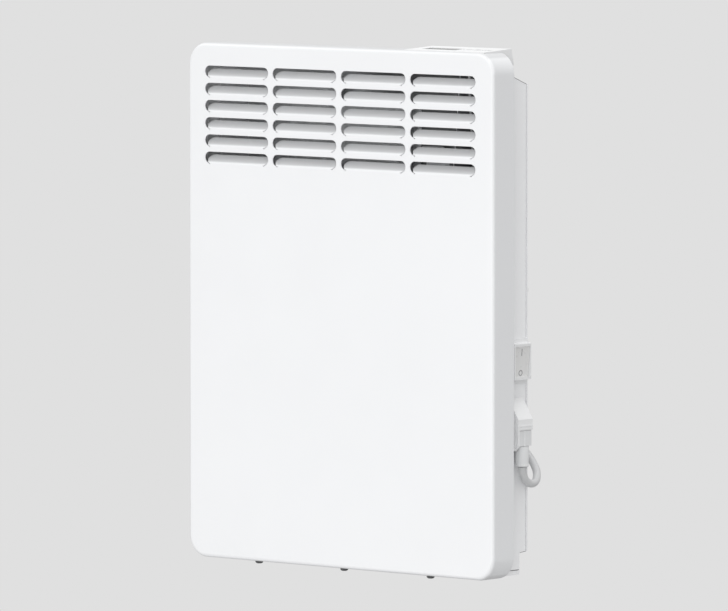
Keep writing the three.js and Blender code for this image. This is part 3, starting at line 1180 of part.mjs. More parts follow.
function endPlate() {
  const half = END_PLATE_HEIGHT / 2;
  const shape = roundedRect(depthToY(END_PLATE_FRONT), depthToY(FOOT_REAR), ELEMENT_Z - half,
    ELEMENT_Z + half, END_PLATE_CORNER);
  const plate = alongX(shape, END_PLATE_X - INNER_SHEET, END_PLATE_X, 3);
  const flange = blockAt([END_PLATE_X - INNER_SHEET, END_PLATE_X + FOOT_WIDTH],
    [FOOT_REAR - INNER_SHEET, FOOT_REAR],
    [ELEMENT_Z - half + END_PLATE_CORNER, ELEMENT_Z + half - END_PLATE_CORNER]);
  return cut(join(plate, flange), bushHole(END_PLATE_X));
}

function heatShield() {
  const xs = [SHIELD_LEFT, SHIELD_RIGHT];
  const zs = [SHIELD_BOTTOM_Z, CASING_ROOF_Z - SHIELD_TOP_DROP];
  const face = blockAt(xs, [SHIELD_DEPTH, SHIELD_DEPTH + INNER_SHEET], zs);
  const notch = blockAt([SHIELD_NOTCH_X, WIDTH], [0, DEPTH], [SHIELD_NOTCH_Z, HEIGHT]);
  const legs = [[SHIELD_LEFT, 1], [SHIELD_RIGHT, -1]].flatMap(([x, inward]) => {
    const leg = [x, x + inward * INNER_SHEET].sort((a, b) => a - b);
    const foot = [x + inward * INNER_SHEET, x - inward * FOOT_WIDTH].sort((a, b) => a - b);
    return [blockAt(leg, [SHIELD_DEPTH, FOOT_REAR], zs),
      blockAt(foot, [FOOT_REAR - INNER_SHEET, FOOT_REAR], zs)];
  });
  return cut(join(face, ...legs), notch);
}

// ---- Pieces in the connection space --------------------------------------------------------------

function terminalBlock() {
  const x = BLOCK_X;
  const front = FOOT_REAR - BLOCK_HEIGHT;
  const body = blockAt([x - BLOCK_WIDTH / 2, x + BLOCK_WIDTH / 2], [front, FOOT_REAR],
    [BLOCK_Z - BLOCK_LENGTH / 2, BLOCK_Z + BLOCK_LENGTH / 2]);
  const wells = [-1, 0, 1].flatMap((row) => [-1, 1].map((side) => rod(
    'y', BLOCK_WELL_RADIUS, BLOCK_WELL_DEPTH + 1,
    [x + side * BLOCK_WELL_SPACING, depthToY(front) - 1, BLOCK_Z + row * BLOCK_WELL_PITCH], 8)));
  return cut(body, ...wells);
}

// A disc cut-out on an angle that stands out from the casing's rear sheet above the element.
function cutoutBracket() {
  const xs = [CUTOUT_X - CUTOUT_RADIUS, CUTOUT_X + CUTOUT_RADIUS];
  return join(
    blockAt(xs, [FOOT_REAR - INNER_SHEET, FOOT_REAR], [CUTOUT_Z, CUTOUT_Z + CUTOUT_BRACKET_HEIGHT]),
    blockAt(xs, [ELEMENT_DEPTH, FOOT_REAR], [CUTOUT_Z, CUTOUT_Z + INNER_SHEET]));
}

function thermalCutout() {
  const top = CUTOUT_Z - GAP;
  const low = top - CUTOUT_HEIGHT;
  const canRadius = 0.7 * CUTOUT_RADIUS;
  const shoulder = low + CUTOUT_CAN_HEIGHT;
  const profile = [
    [0, low], [canRadius, low], [canRadius, shoulder],
    [CUTOUT_RADIUS, shoulder], [CUTOUT_RADIUS, top], [0, top],
  ];
  return turnedAbout('z', profile, [CUTOUT_X, depthToY(ELEMENT_DEPTH + CUTOUT_RADIUS), 0], 20);
}

const clipBottomZ = INLET_FLOOR_Z + CASING_SHEET + GAP;
const sensorZ = clipBottomZ + SENSOR_RISE;

function sensorClip() {
  const half = SENSOR_RADIUS + CLIP_WALL;
  const y = depthToY(SENSOR_DEPTH);
  const body = block([SENSOR_X - half, SENSOR_X + half], [y - CLIP_DEPTH / 2, y + CLIP_DEPTH / 2],
    [clipBottomZ, sensorZ + 0.6 * SENSOR_RADIUS]);
  const seat = rod('y', SENSOR_RADIUS + GAP, CLIP_DEPTH + 2, [SENSOR_X, y - CLIP_DEPTH / 2 - 1, sensorZ], 16);
  return cut(body, seat);
}

function roomSensor() {
  const half = SENSOR_LENGTH / 2;
  const tip = 0.5 * SENSOR_RADIUS;
  const profile = [[0, -half], [tip, -half], [SENSOR_RADIUS, tip - half],
    [SENSOR_RADIUS, half - tip], [tip, half], [0, half]];
  return turnedAbout('y', profile, [SENSOR_X, depthToY(SENSOR_DEPTH), sensorZ], 16);
}

const powerBoardX = PARTITION_X + INNER_SHEET + POWER_BOARD_STANDOFF;
const powerBoardFaceX = powerBoardX + BOARD_THICKNESS;

// A board on four posts that stand on the partition.
function powerBoard() {
  const top = POWER_BOARD_Z + POWER_BOARD_HEIGHT;
  const plate = blockAt([powerBoardX, powerBoardFaceX], [POWER_BOARD_FRONT, POWER_BOARD_REAR],
    [POWER_BOARD_Z, top]);
  const [depthInset, heightInset] = POWER_BOARD_INSET;
  const depths = [POWER_BOARD_FRONT + depthInset, POWER_BOARD_REAR - depthInset];
  const posts = depths.flatMap((depth) => [POWER_BOARD_Z + heightInset, top - heightInset].map((z) => rod(
    'x', 2, POWER_BOARD_STANDOFF - GAP + BOARD_THICKNESS / 2,
    [PARTITION_X + INNER_SHEET + GAP, depthToY(depth), z], 8)));
  return join(plate, ...posts);
}

function relay() {
  const [reach, width, height] = RELAY_SIZE;
  const [inset, rise] = RELAY_PLACE;
  const front = POWER_BOARD_FRONT + inset;
  const bottom = POWER_BOARD_Z + rise;
  return blockAt([powerBoardFaceX + GAP, powerBoardFaceX + GAP + reach], [front, front + width],
    [bottom, bottom + height]);
}

function boardCapacitor() {
  const [inset, rise] = CAPACITOR_PLACE;
  const start = [powerBoardFaceX + GAP, depthToY(POWER_BOARD_FRONT + inset), POWER_BOARD_Z + rise];
  return rod('x', CAPACITOR_RADIUS, CAPACITOR_LENGTH, start, 16);
}

const blockTopZ = BLOCK_Z + BLOCK_LENGTH / 2 + GAP;
const blockBottomZ = BLOCK_Z - BLOCK_LENGTH / 2 - GAP;
const bladeEndX = PIVOT_X - SWITCH_BODY_LENGTH - BLADE_LENGTH - 2 * GAP;
const boardMiddleX = powerBoardX + BOARD_THICKNESS / 2;
const boardTopZ = POWER_BOARD_Z + POWER_BOARD_HEIGHT + GAP;
const floorZ = CASING_STEP_Z + WIRE_FLOOR_RISE;
const alongRight = SENSOR_X + WIRE_SIDE_STEP;
const belowBlock = (share) => THREE.MathUtils.lerp(floorZ, blockBottomZ, share);

// Each route runs between the faces that it joins, as it lies in the casing: x, depth and z.
const WIRE_ROUTES = {
  wire_element_right: [
    [rodRight + TERMINAL_LENGTH + 2 * GAP, ELEMENT_DEPTH, ELEMENT_Z],
    [BLOCK_X + 1, ELEMENT_DEPTH, ELEMENT_Z], [BLOCK_X + 7, 36, ELEMENT_Z - 2],
    [BLOCK_X + 9, 45, ELEMENT_Z - 6], [BLOCK_X + 9, 52, ELEMENT_Z - 11],
    [BLOCK_X + 9, BLOCK_WIRE_DEPTH, blockTopZ],
  ],
  wire_element_left: [
    [rodLeft - TERMINAL_LENGTH - 2 * GAP, ELEMENT_DEPTH, ELEMENT_Z],
    [rodLeft - 11.8, ELEMENT_DEPTH, ELEMENT_Z - 0.4], [rodLeft - 13.6, 35, ELEMENT_Z - 4],
    [rodLeft - 13.8, 40, ELEMENT_Z - 25], [rodLeft - 9.2, 50, floorZ + 20.5],
    [rodLeft + 2.8, 55, floorZ + 4.5], [rodLeft + 20.8, 56, floorZ],
    [-60, 56, floorZ], [0, 56, floorZ], [60, 56, floorZ], [BLOCK_X - 30, 56, floorZ],
    [BLOCK_X - 16, 55.5, belowBlock(0.12)], [BLOCK_X - 8, 54, belowBlock(0.44)],
    [BLOCK_X - 6, BLOCK_WIRE_DEPTH, belowBlock(0.73)], [BLOCK_X - 6, BLOCK_WIRE_DEPTH, blockBottomZ],
  ],
  wire_switch_line: [
    [bladeEndX, SWITCH_DEPTH, SWITCH_Z - BLADE_SPACING], [bladeEndX - 3.9, SWITCH_DEPTH, SWITCH_Z - 9.8],
    [bladeEndX - 6.9, 50, SWITCH_Z - 17.8], [bladeEndX - 7.4, 52, SWITCH_Z - 50],
    [BLOCK_X - 17, BLOCK_WIRE_DEPTH, blockTopZ + 21.5], [BLOCK_X - 9, BLOCK_WIRE_DEPTH, blockTopZ + 12.5],
    [BLOCK_X - 6, BLOCK_WIRE_DEPTH, blockTopZ + 6.5], [BLOCK_X - 6, BLOCK_WIRE_DEPTH, blockTopZ],
  ],
  wire_switch_load: [
    [bladeEndX, SWITCH_DEPTH, SWITCH_Z + BLADE_SPACING], [bladeEndX - 3.9, SWITCH_DEPTH, SWITCH_Z + 10.2],
    [bladeEndX - 6.9, SWITCH_DEPTH - 1, SWITCH_Z + 18.2], [boardMiddleX, 46, POWER_BOARD_Z - 18],
    [boardMiddleX, 46, POWER_BOARD_Z - GAP],
  ],
  wire_display: [
    [boardMiddleX, 40, boardTopZ], [boardMiddleX, 40, boardTopZ + 8],
    [boardMiddleX + 1.5, 38, boardTopZ + 34],
    [CABLE_HOLE_X, 34, DISPLAY_BOARD_Z - 47], [CABLE_HOLE_X, CABLE_HOLE_DEPTH, DISPLAY_BOARD_Z - 22],
    [CABLE_HOLE_X, CABLE_HOLE_DEPTH, DISPLAY_BOARD_Z - 12],
    [CABLE_HOLE_X, CABLE_HOLE_DEPTH, DISPLAY_BOARD_Z - GAP],
  ],
  wire_sensor: [
    [SENSOR_X, SENSOR_DEPTH - SENSOR_LENGTH / 2 - GAP, sensorZ], [SENSOR_X, 29, sensorZ],
    [SENSOR_X + 0.5, 26, sensorZ + 3.6], [SENSOR_X + 2.5, 28, sensorZ + 16.6], [alongRight, 29, ELEMENT_Z],
    [alongRight, 29, SWITCH_Z], [alongRight - 7, 30, SWITCH_Z + 30],
    [boardMiddleX + 10.4, 33, POWER_BOARD_Z - 16], [boardMiddleX + 0.9, 34, POWER_BOARD_Z - 8],
    [boardMiddleX, 34, POWER_BOARD_Z - GAP],
  ],
};

// The mains lead inside the casing, from the gland to the terminal block: x, depth and z.
const INNER_LEAD_ROUTE = [
  [CASING_X + 4, RELIEF_DEPTH, LEAD_HOLE_Z], [CASING_X - 5, RELIEF_DEPTH, LEAD_HOLE_Z],
  [CASING_X - 11.5, 48.6, LEAD_HOLE_Z - 3], [CASING_X - 16, 49.8, LEAD_HOLE_Z - 11],
  [BLOCK_X + 3, 51.2, LEAD_HOLE_Z - 24], [BLOCK_X + 2, 52.5, blockTopZ + 9.7],
  [BLOCK_X + 2, BLOCK_WIRE_DEPTH, blockTopZ],
];

const inCasing = (route) => route.map(([x, depth, z]) => [x, depthToY(depth), z]);

// ---- The assembly --------------------------------------------------------------------------------

place('front_cover', frontCover(), whiteEnamel);
place('rear_casing', rearCasing(), whiteEnamel);
place('air_inlet_tray', inletTray(), whiteEnamel);
screwPlaces().forEach((x, i) => place(`cover_screw_${i + 1}`, coverScrew(x), darkPlastic));
place('wall_bracket', wallBracket(), zincSheet);
place('rear_bumper_left', bumper(-1), rubber);
place('rear_bumper_right', bumper(1), rubber);

place('control_cap', controlCap(), whitePlastic);
place('control_carrier', controlCarrier(), greyPlastic);
place('display_window', displayWindow(), darkGlass);
place('display_module', displayModule(), darkPlastic);
place('display_board', displayBoard(), board);
['key_minus', 'key_menu', 'key_plus'].forEach((name, i) => place(name, key(keyPlaces()[i]), whitePlastic));

place('switch_housing', switchHousing(), whitePlastic);
place('switch_rocker', rocker(), greyPlastic);
place('switch_blade_upper', switchBlade(1), steel);
place('switch_blade_lower', switchBlade(-1), steel);

place('gland_hood', glandHood(), whitePlastic);
place('gland_clamp', glandClamp(), greyPlastic);
place('strain_relief', strainRelief(), greyPlastic);

place('cord_lead', tube(LEAD_ROUTE, CORD_RADIUS, 30, 8), cordJacket);
const coil = coilRoute();
place('cord_coil', sweep(coil, CORD_RADIUS, COIL_SIDES), cordJacket);
const coilGap = leastGap(coil, CORD_DIAMETER, COIL_STEPS);
console.log(`least gap between the turns of the coil: ${coilGap.toFixed(2)} mm`);
place('coil_tie', coilTie(), darkPlastic);
const cores = [['line', 90, brownCore], ['neutral', 210, blueCore], ['earth', 330, earthCore]];
cores.forEach(([name, turn, look]) => {
  const { jacket, ferrule } = core(turn);
  place(`core_${name}`, jacket, look);
  place(`ferrule_${name}`, ferrule, steel);
});

place('element_fins', finnedProfile(), aluminium);
place('element_rod', elementRod(), steel);
place('element_terminal_left', terminalPin(rodLeft, -1), steel);
place('element_terminal_right', terminalPin(rodRight, 1), steel);
place('bush_left', bush(END_PLATE_X - INNER_SHEET, -1), ceramic);
place('bush_right', bush(PARTITION_X + INNER_SHEET, 1), ceramic);
place('element_end_plate', endPlate(), zincSheet);
place('partition_plate', partitionPlate(), zincSheet);
place('heat_shield', heatShield(), zincSheet);

place('terminal_block', terminalBlock(), ceramic);
place('power_board', powerBoard(), board);
place('relay', relay(), darkPlastic);
place('board_capacitor', boardCapacitor(), darkPlastic);
place('inner_lead', tube(inCasing(INNER_LEAD_ROUTE), CORD_RADIUS, 14, 8), cordJacket);
place('thermal_cutout', thermalCutout(), darkPlastic);
place('cutout_bracket', cutoutBracket(), zincSheet);
place('room_sensor', roomSensor(), darkPlastic);
place('sensor_clip', sensorClip(), whitePlastic);
Object.entries(WIRE_ROUTES).forEach(([name, route]) => {
  place(name, tube(inCasing(route), WIRE_RADIUS, 2 * route.length, 6), brownCore);
});

export default heater;
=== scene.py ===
"""The looks of a wall-mounted panel convector heater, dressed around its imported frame.

Metres, +X to the right of someone who faces the heater, +Y into the wall, +Z up. The wall is the
plane y = 0 and the front face of the cover is at y = -0.1. Profiles, outlines and routes are
written in millimetres, and become metres where their piece is made.
"""

import json
import math

import bmesh
import bpy
from mathutils import Matrix, Vector

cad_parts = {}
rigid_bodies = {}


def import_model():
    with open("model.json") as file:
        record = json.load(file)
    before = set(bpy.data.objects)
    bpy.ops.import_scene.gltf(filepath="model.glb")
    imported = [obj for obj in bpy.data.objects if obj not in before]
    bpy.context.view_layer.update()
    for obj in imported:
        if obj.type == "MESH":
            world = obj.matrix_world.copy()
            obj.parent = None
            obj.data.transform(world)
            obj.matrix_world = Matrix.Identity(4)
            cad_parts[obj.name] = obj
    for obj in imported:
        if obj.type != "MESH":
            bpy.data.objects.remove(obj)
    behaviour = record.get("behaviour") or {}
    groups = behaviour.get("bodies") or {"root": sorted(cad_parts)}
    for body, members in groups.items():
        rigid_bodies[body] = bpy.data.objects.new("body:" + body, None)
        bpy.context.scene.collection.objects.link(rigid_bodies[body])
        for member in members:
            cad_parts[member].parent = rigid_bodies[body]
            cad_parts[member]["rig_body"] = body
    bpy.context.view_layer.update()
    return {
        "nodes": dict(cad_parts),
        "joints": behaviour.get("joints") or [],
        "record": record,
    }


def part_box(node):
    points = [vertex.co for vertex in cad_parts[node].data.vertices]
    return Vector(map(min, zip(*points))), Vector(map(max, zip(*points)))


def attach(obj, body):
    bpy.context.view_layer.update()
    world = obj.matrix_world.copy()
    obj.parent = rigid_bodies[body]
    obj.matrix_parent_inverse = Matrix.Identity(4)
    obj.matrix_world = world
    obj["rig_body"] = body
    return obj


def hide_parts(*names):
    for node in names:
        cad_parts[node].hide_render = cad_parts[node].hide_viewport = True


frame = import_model()
nodes = frame["nodes"]

MM = 0.001
SLOTS = {row["node"]: row["material_slot"] for row in frame["record"]["subparts"]}
SIDES = ((-1, "left"), (1, "right"))

# Sizes of the pressed casing that the frame's boxes don't give.
CASING_SIDE = 159.0 * MM  # from the middle to the outside
ROOF_REAR_Z = 196.5 * MM
ROOF_SLOPE = math.tan(math.radians(20.7))
STEP_Z = -204.0 * MM
STEP_INSET = 9.5 * MM  # of the casing's rear below the step


def add_object(name, data):
    made = bpy.data.objects.new(name, data)
    bpy.context.scene.collection.objects.link(made)
    return made


# ---- Camera --------------------------------------------------------------------------------

IMAGE_WIDTH = 728
FOCAL_LENGTH_PIXELS = 8973.0
SENSOR_WIDTH = 36.0
VIEW_AZIMUTH = math.radians(40.853)
VIEW_ELEVATION = math.radians(4.188)
VIEW_DISTANCE = 7.7101
VIEW_TARGET = Vector((0.02854, -0.1, 0.00417))
CLIP_END = 50.0


def add_camera():
    data = bpy.data.cameras.new("camera")
    data.sensor_fit = "HORIZONTAL"
    data.sensor_width = SENSOR_WIDTH
    data.lens = FOCAL_LENGTH_PIXELS * SENSOR_WIDTH / IMAGE_WIDTH
    data.clip_end = CLIP_END
    camera = add_object("camera", data)
    sin_a, cos_a = math.sin(VIEW_AZIMUTH), math.cos(VIEW_AZIMUTH)
    sin_e, cos_e = math.sin(VIEW_ELEVATION), math.cos(VIEW_ELEVATION)
    back = Vector((sin_a * cos_e, -cos_a * cos_e, sin_e))
    right = Vector((cos_a, sin_a, 0.0))
    up = back.cross(right)
    turn = Matrix((right, up, back)).transposed().to_4x4()
    camera.matrix_world = Matrix.Translation(VIEW_TARGET + back * VIEW_DISTANCE) @ turn
    bpy.context.scene.camera = camera


# ---- Light and stage -----------------------------------------------------------------------

BACKGROUND = 0.745  # the grey behind the object, linear
AMBIENT = 0.545
AMBIENT_RISE = 0.5  # how much brighter the studio is straight above, and darker straight below
# Each soft box faces the heater: its place, its size and its watts.
SOFT_BOXES = {
    "key": ((-1.9, -5.4, 0.3), (2.2, 2.2), 103.0),
    "top": ((0.5, -0.3, 3.2), (1.2, 1.4), 27.0),
    "fill": ((3.4, -4.4, 0.8), (2.4, 2.4), 60.0),
}
FLOOR_PLACE = (0.0, -0.4, -1.1)
FLOOR_RADIUS = 2.2
FLOOR_SIDES = 96


def add_soft_box(name, place, size, watts):
    data = bpy.data.lights.new(name, "AREA")
    data.shape = "RECTANGLE"
    data.size, data.size_y = size
    data.energy = watts
    light = add_object(name, data)
    light.location = place
    light.rotation_euler = (-Vector(place)).to_track_quat("-Z", "Y").to_euler()


def add_studio():
    """A studio that lights more from above than from below. The camera sees it as one grey."""
    world = bpy.data.worlds.new("studio")
    world.use_nodes = True
    tree = world.node_tree
    place = tree.nodes.new("ShaderNodeTexCoord")
    direction = tree.nodes.new("ShaderNodeSeparateXYZ")
    tree.links.new(place.outputs["Generated"], direction.inputs[0])
    light = tree.nodes.new("ShaderNodeMath")
    light.operation = "MULTIPLY_ADD"
    tree.links.new(direction.outputs["Z"], light.inputs[0])
    light.inputs[1].default_value = AMBIENT_RISE
    light.inputs[2].default_value = AMBIENT
    rays = tree.nodes.new("ShaderNodeLightPath")
    seen = tree.nodes.new("ShaderNodeMix")
    tree.links.new(rays.outputs["Is Camera Ray"], seen.inputs["Factor"])
    tree.links.new(light.outputs[0], seen.inputs[2])
    seen.inputs[3].default_value = BACKGROUND
    tree.links.new(seen.outputs[0], tree.nodes["Background"].inputs["Color"])
    bpy.context.scene.world = world


def add_light():
    """One soft box at the front left, one overhead and one at the front right."""
    bpy.context.scene.view_settings.view_transform = "Standard"
    add_studio()
    for name, (place, size, watts) in SOFT_BOXES.items():
        add_soft_box(name, place, size, watts)


def add_floor():
    bpy.ops.mesh.primitive_circle_add(vertices=FLOOR_SIDES, radius=FLOOR_RADIUS,
                                      fill_type="NGON", location=FLOOR_PLACE)
    floor = bpy.context.object
    floor.name = "floor"
    paint = Surface("floor_paint", (0.52, 0.52, 0.52), 0.9)
    paint.shades(0.4, 0.01)
    floor.data.materials.append(paint.material)


# ---- Materials -----------------------------------------------------------------------------

FULL_RANGE = (0.0, 1.0)
NOISE_RANGE = (0.3, 0.7)  # where most of a noise's values lie
PAINT_PATCH = 0.11  # metres across, and how much the paint's shade varies
PAINT_SPREAD = 0.006
GLOSS_PATCH = 0.03
ORANGE_PEEL = (1.1 * MM, 0.008 * MM)  # the size of its waves and their depth
FINE_PEEL = (0.3 * MM, 0.002 * MM)
PLASTIC_GRAIN = 0.006  # millimetres deep


class Surface:
    """A principled material with helpers for procedural nodes in the object's own coordinates."""

    def __init__(self, name, color, roughness, metallic=0.0, specular=0.5):
        self.material = bpy.data.materials.new(name)
        self.material.use_nodes = True
        self.tree = self.material.node_tree
        self.shader = self.tree.nodes["Principled BSDF"]
        self.color = color
        self.shader.inputs["Base Color"].default_value = (*color, 1.0)
        self.shader.inputs["Roughness"].default_value = roughness
        self.shader.inputs["Metallic"].default_value = metallic
        self.shader.inputs["Specular IOR Level"].default_value = specular
        self.place = self.node("ShaderNodeTexCoord").outputs["Object"]

    def node(self, kind, **settings):
        made = self.tree.nodes.new(kind)
        for key, value in settings.items():
            setattr(made, key, value)
        return made

    def link(self, source, target):
        self.tree.links.new(source, target)

    def noise(self, size, detail, stretch=(1.0, 1.0, 1.0)):
        """A noise whose features are about `size` metres across."""
        mapping = self.node("ShaderNodeMapping")
        mapping.inputs["Scale"].default_value = stretch
        self.link(self.place, mapping.inputs["Vector"])
        made = self.node("ShaderNodeTexNoise")
        made.inputs["Scale"].default_value = 1.0 / size
        made.inputs["Detail"].default_value = detail
        self.link(mapping.outputs["Vector"], made.inputs["Vector"])
        return made.outputs["Fac"]

    def remap(self, value, source, target):
        """Carries a value from one (low, high) range to another, and stops at its ends."""
        made = self.node("ShaderNodeMapRange")
        made.inputs["From Min"].default_value, made.inputs["From Max"].default_value = source
        made.inputs["To Min"].default_value, made.inputs["To Max"].default_value = target
        self.link(value, made.inputs["Value"])
        return made.outputs["Result"]

    def maths(self, operation, *values):
        """A math node. Each value is a number or the output of another node."""
        made = self.node("ShaderNodeMath", operation=operation)
        for value, socket in zip(values, made.inputs):
            if isinstance(value, float):
                socket.default_value = value
            else:
                self.link(value, socket)
        return made.outputs[0]

    def split_place(self):
        split = self.node("ShaderNodeSeparateXYZ")
        self.link(self.place, split.inputs["Vector"])
        return split.outputs

    def mix(self, factor, first, second):
        """Each end is a colour or the output of another node."""
        made = self.node("ShaderNodeMix", data_type="RGBA")
        self.link(factor, made.inputs["Factor"])
        for value, socket in ((first, made.inputs[6]), (second, made.inputs[7])):
            if isinstance(value, tuple):
                socket.default_value = (*value, 1.0)
            else:
                self.link(value, socket)
        return made.outputs[2]

    def bump(self, *heights):
        """Stacks bumps: each is a height field with its depth in metres."""
        normal = None
        for height, depth in heights:
            made = self.node("ShaderNodeBump")
            made.inputs["Distance"].default_value = depth
            made.inputs["Strength"].default_value = 1.0
            self.link(height, made.inputs["Height"])
            if normal is not None:
                self.link(normal, made.inputs["Normal"])
            normal = made.outputs["Normal"]
        self.link(normal, self.shader.inputs["Normal"])

    def peel(self, *layers):
        self.bump(*((self.noise(size, 1.0), depth) for size, depth in layers))

    def patches(self, size, spread):
        """The colour, varied a little over patches of about `size`."""
        low = tuple(channel * (1.0 - spread) for channel in self.color)
        high = tuple(min(1.0, channel * (1.0 + spread)) for channel in self.color)
        return self.mix(self.remap(self.noise(size, 2.0), NOISE_RANGE, FULL_RANGE), low, high)

    def paint(self, color):
        self.link(color, self.shader.inputs["Base Color"])

    def shades(self, size, spread):
        self.paint(self.patches(size, spread))

    def gloss(self, size, low, high):
        """Varies the roughness over patches of about `size`."""
        roughness = self.remap(self.noise(size, 3.0), NOISE_RANGE, (low, high))
        self.link(roughness, self.shader.inputs["Roughness"])


def darker(color, share):
    return tuple(channel * share for channel in color)


def enamel(name, color, roughness):
    """Powder coat with orange peel, in one colour until it is painted."""
    surface = Surface(name, color, roughness)
    surface.gloss(GLOSS_PATCH, roughness - 0.04, roughness + 0.05)
    surface.peel(ORANGE_PEEL, FINE_PEEL)
    return surface


def tray_material():
    surface = enamel("tray_enamel", (0.88, 0.885, 0.895), 0.42)
    surface.shades(PAINT_PATCH, PAINT_SPREAD)
    return surface.material


COVER_INSIDE_SHADE = 0.83  # painted shade inside the pan and on the louvres, as a share of the face's lightness
COVER_FADE = (0.4 * MM, 1.4 * MM)  # behind the face, where the painted shade sets in
COVER_FLANGE = (8.0 * MM, 6.0 * MM)  # from the outside: the flange keeps the face's colour, without the painted shade


def cover_material():
    """Enamel with painted shade: darker on the inside of the pan and on its louvres, where the
    sheet in front shades them.
    """
    surface = enamel("cover_enamel", (0.805, 0.813, 0.825), 0.36)
    place = surface.split_place()
    low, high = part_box("front_cover")
    behind = tuple(low.y + depth for depth in COVER_FADE)
    deep = surface.remap(place["Y"], behind, FULL_RANGE)
    across = surface.maths("ABSOLUTE", place["X"])
    flange = tuple(high.x - inset for inset in COVER_FLANGE)
    within = surface.remap(across, flange, (1.0, 0.0))
    inside = surface.maths("MULTIPLY", deep, within)
    face = surface.patches(PAINT_PATCH, PAINT_SPREAD)
    # Painted shade: the face's colour, darkened behind the face and in from the flange.
    surface.paint(surface.mix(inside, face, darker(surface.color, COVER_INSIDE_SHADE)))
    return surface.material


# Painted shade for the casing's inside, seen through the louvres: lighter at the left, dark at
# the right.
INSIDE_SHADE_LEFT = (0.66, 0.67, 0.68)
INSIDE_SHADE_RIGHT = (0.24, 0.245, 0.25)
INSIDE_SHADE_FADE = (-25.0 * MM, 5.0 * MM)  # in x, where one turns into the other
SIDE_SKIN = 1.6 * MM  # the white reaches this far in from the outside of a side
SHEET_SKIN = 0.8 * MM  # and this far into the rear sheet and the roof
STEP_MARGIN = 0.5 * MM


def casing_material():
    """White outside and painted shade inside, darker towards the right, told apart by the place
    in the pressed box.
    """
    surface = Surface("casing_enamel", (0.905, 0.91, 0.92), 0.42)
    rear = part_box("rear_casing")[1].y
    place = surface.split_place()
    across = surface.maths("ABSOLUTE", place["X"])
    over_step = surface.maths("GREATER_THAN", place["Z"], STEP_Z + STEP_MARGIN)
    depth = surface.maths("MULTIPLY_ADD", over_step, -STEP_INSET, place["Y"])
    roof = surface.node("ShaderNodeVectorMath", operation="DOT_PRODUCT")
    surface.link(surface.place, roof.inputs[0])
    roof.inputs[1].default_value = (0.0, ROOF_SLOPE, 1.0)
    roof_edge = ROOF_REAR_Z + ROOF_SLOPE * rear
    tests = [
        surface.maths("LESS_THAN", across, CASING_SIDE - SIDE_SKIN),
        surface.maths("LESS_THAN", depth, rear - STEP_INSET - SHEET_SKIN),
        surface.maths("LESS_THAN", roof.outputs["Value"], roof_edge - SHEET_SKIN),
    ]
    inside = surface.maths("MULTIPLY", surface.maths("MULTIPLY", *tests[:2]), tests[2])
    white = surface.patches(PAINT_PATCH, PAINT_SPREAD)
    along = surface.remap(place["X"], INSIDE_SHADE_FADE, FULL_RANGE)
    # Inside, the white gives way to painted shade that darkens along x.
    surface.paint(surface.mix(inside, white, surface.mix(along, INSIDE_SHADE_LEFT, INSIDE_SHADE_RIGHT)))
    surface.peel(ORANGE_PEEL)
    return surface.material


def moulded_plastic(name, color, roughness, grain=PLASTIC_GRAIN):
    surface = Surface(name, color, roughness)
    surface.shades(0.03, 0.01)
    surface.gloss(0.006, roughness - 0.05, roughness + 0.06)
    surface.bump((surface.noise(0.35 * MM, 2.0), grain * MM))
    return surface.material


def window_material():
    """Dark clear plastic, polished, so that it mirrors the studio at a low angle."""
    surface = Surface("window_plastic", (0.02, 0.021, 0.023), 0.03, specular=0.9)
    surface.shades(0.02, 0.02)
    return surface.material


def zinc_material():
    """Zinc-coated sheet with its spangle."""
    surface = Surface("zinc_sheet", (0.62, 0.63, 0.64), 0.42, metallic=1.0)
    cells = surface.node("ShaderNodeTexVoronoi")
    cells.inputs["Scale"].default_value = 1.0 / (6.0 * MM)
    surface.link(surface.place, cells.inputs["Vector"])
    shade = surface.node("ShaderNodeSeparateColor")
    surface.link(cells.outputs["Color"], shade.inputs["Color"])
    surface.paint(surface.mix(shade.outputs["Red"], darker(surface.color, 0.86), surface.color))
    roughness = surface.remap(shade.outputs["Green"], FULL_RANGE, (0.36, 0.50))
    surface.link(roughness, surface.shader.inputs["Roughness"])
    surface.bump((surface.noise(0.8 * MM, 3.0), 0.006 * MM))
    return surface.material


def drawn_metal(name, color, roughness):
    """Lines along X, as on an extruded profile."""
    surface = Surface(name, color, roughness, metallic=1.0)
    lines = surface.noise(0.5 * MM, 3.0, stretch=(0.01, 1.0, 1.0))
    streaks = surface.remap(lines, NOISE_RANGE, (roughness - 0.06, roughness + 0.1))
    surface.link(streaks, surface.shader.inputs["Roughness"])
    surface.bump((lines, 0.02 * MM))
    return surface.material


# Colour, roughness and, where it isn't PLASTIC_GRAIN, the depth of the grain.
PLASTICS = {
    "white_plastic": ((0.86, 0.865, 0.87), 0.40),
    "key_plastic": ((0.74, 0.745, 0.75), 0.45),
    "frame_plastic": ((0.855, 0.86, 0.865), 0.40),
    "grey_plastic": ((0.76, 0.77, 0.775), 0.44),
    "rocker_plastic": ((0.77, 0.77, 0.765), 0.3, 0.002),
    "dark_plastic": ((0.035, 0.037, 0.04), 0.45),
    "screw_black": ((0.075, 0.077, 0.08), 0.5),
    "board_green": ((0.03, 0.16, 0.08), 0.45),
    "ceramic": ((0.80, 0.76, 0.66), 0.6, 0.02),
    "grey_rubber": ((0.10, 0.105, 0.11), 0.7, 0.015),
    "cord_jacket": ((0.59, 0.595, 0.60), 0.42, 0.01),
    "core_brown": ((0.12, 0.05, 0.025), 0.45),
    "core_blue": ((0.02, 0.10, 0.42), 0.45),
    "core_green": ((0.20, 0.42, 0.03), 0.45),
    "mark_grey": ((0.33, 0.33, 0.335), 0.5, 0.001),
    "key_mark": ((0.40, 0.40, 0.405), 0.5, 0.001),
    "seam_shadow": ((0.16, 0.16, 0.165), 0.6, 0.001),
}
METALS = {
    "bright_steel": ((0.60, 0.61, 0.62), 0.32),
    "fin_aluminium": ((0.72, 0.73, 0.74), 0.38),
    "tinned_copper": ((0.70, 0.69, 0.66), 0.30),
}


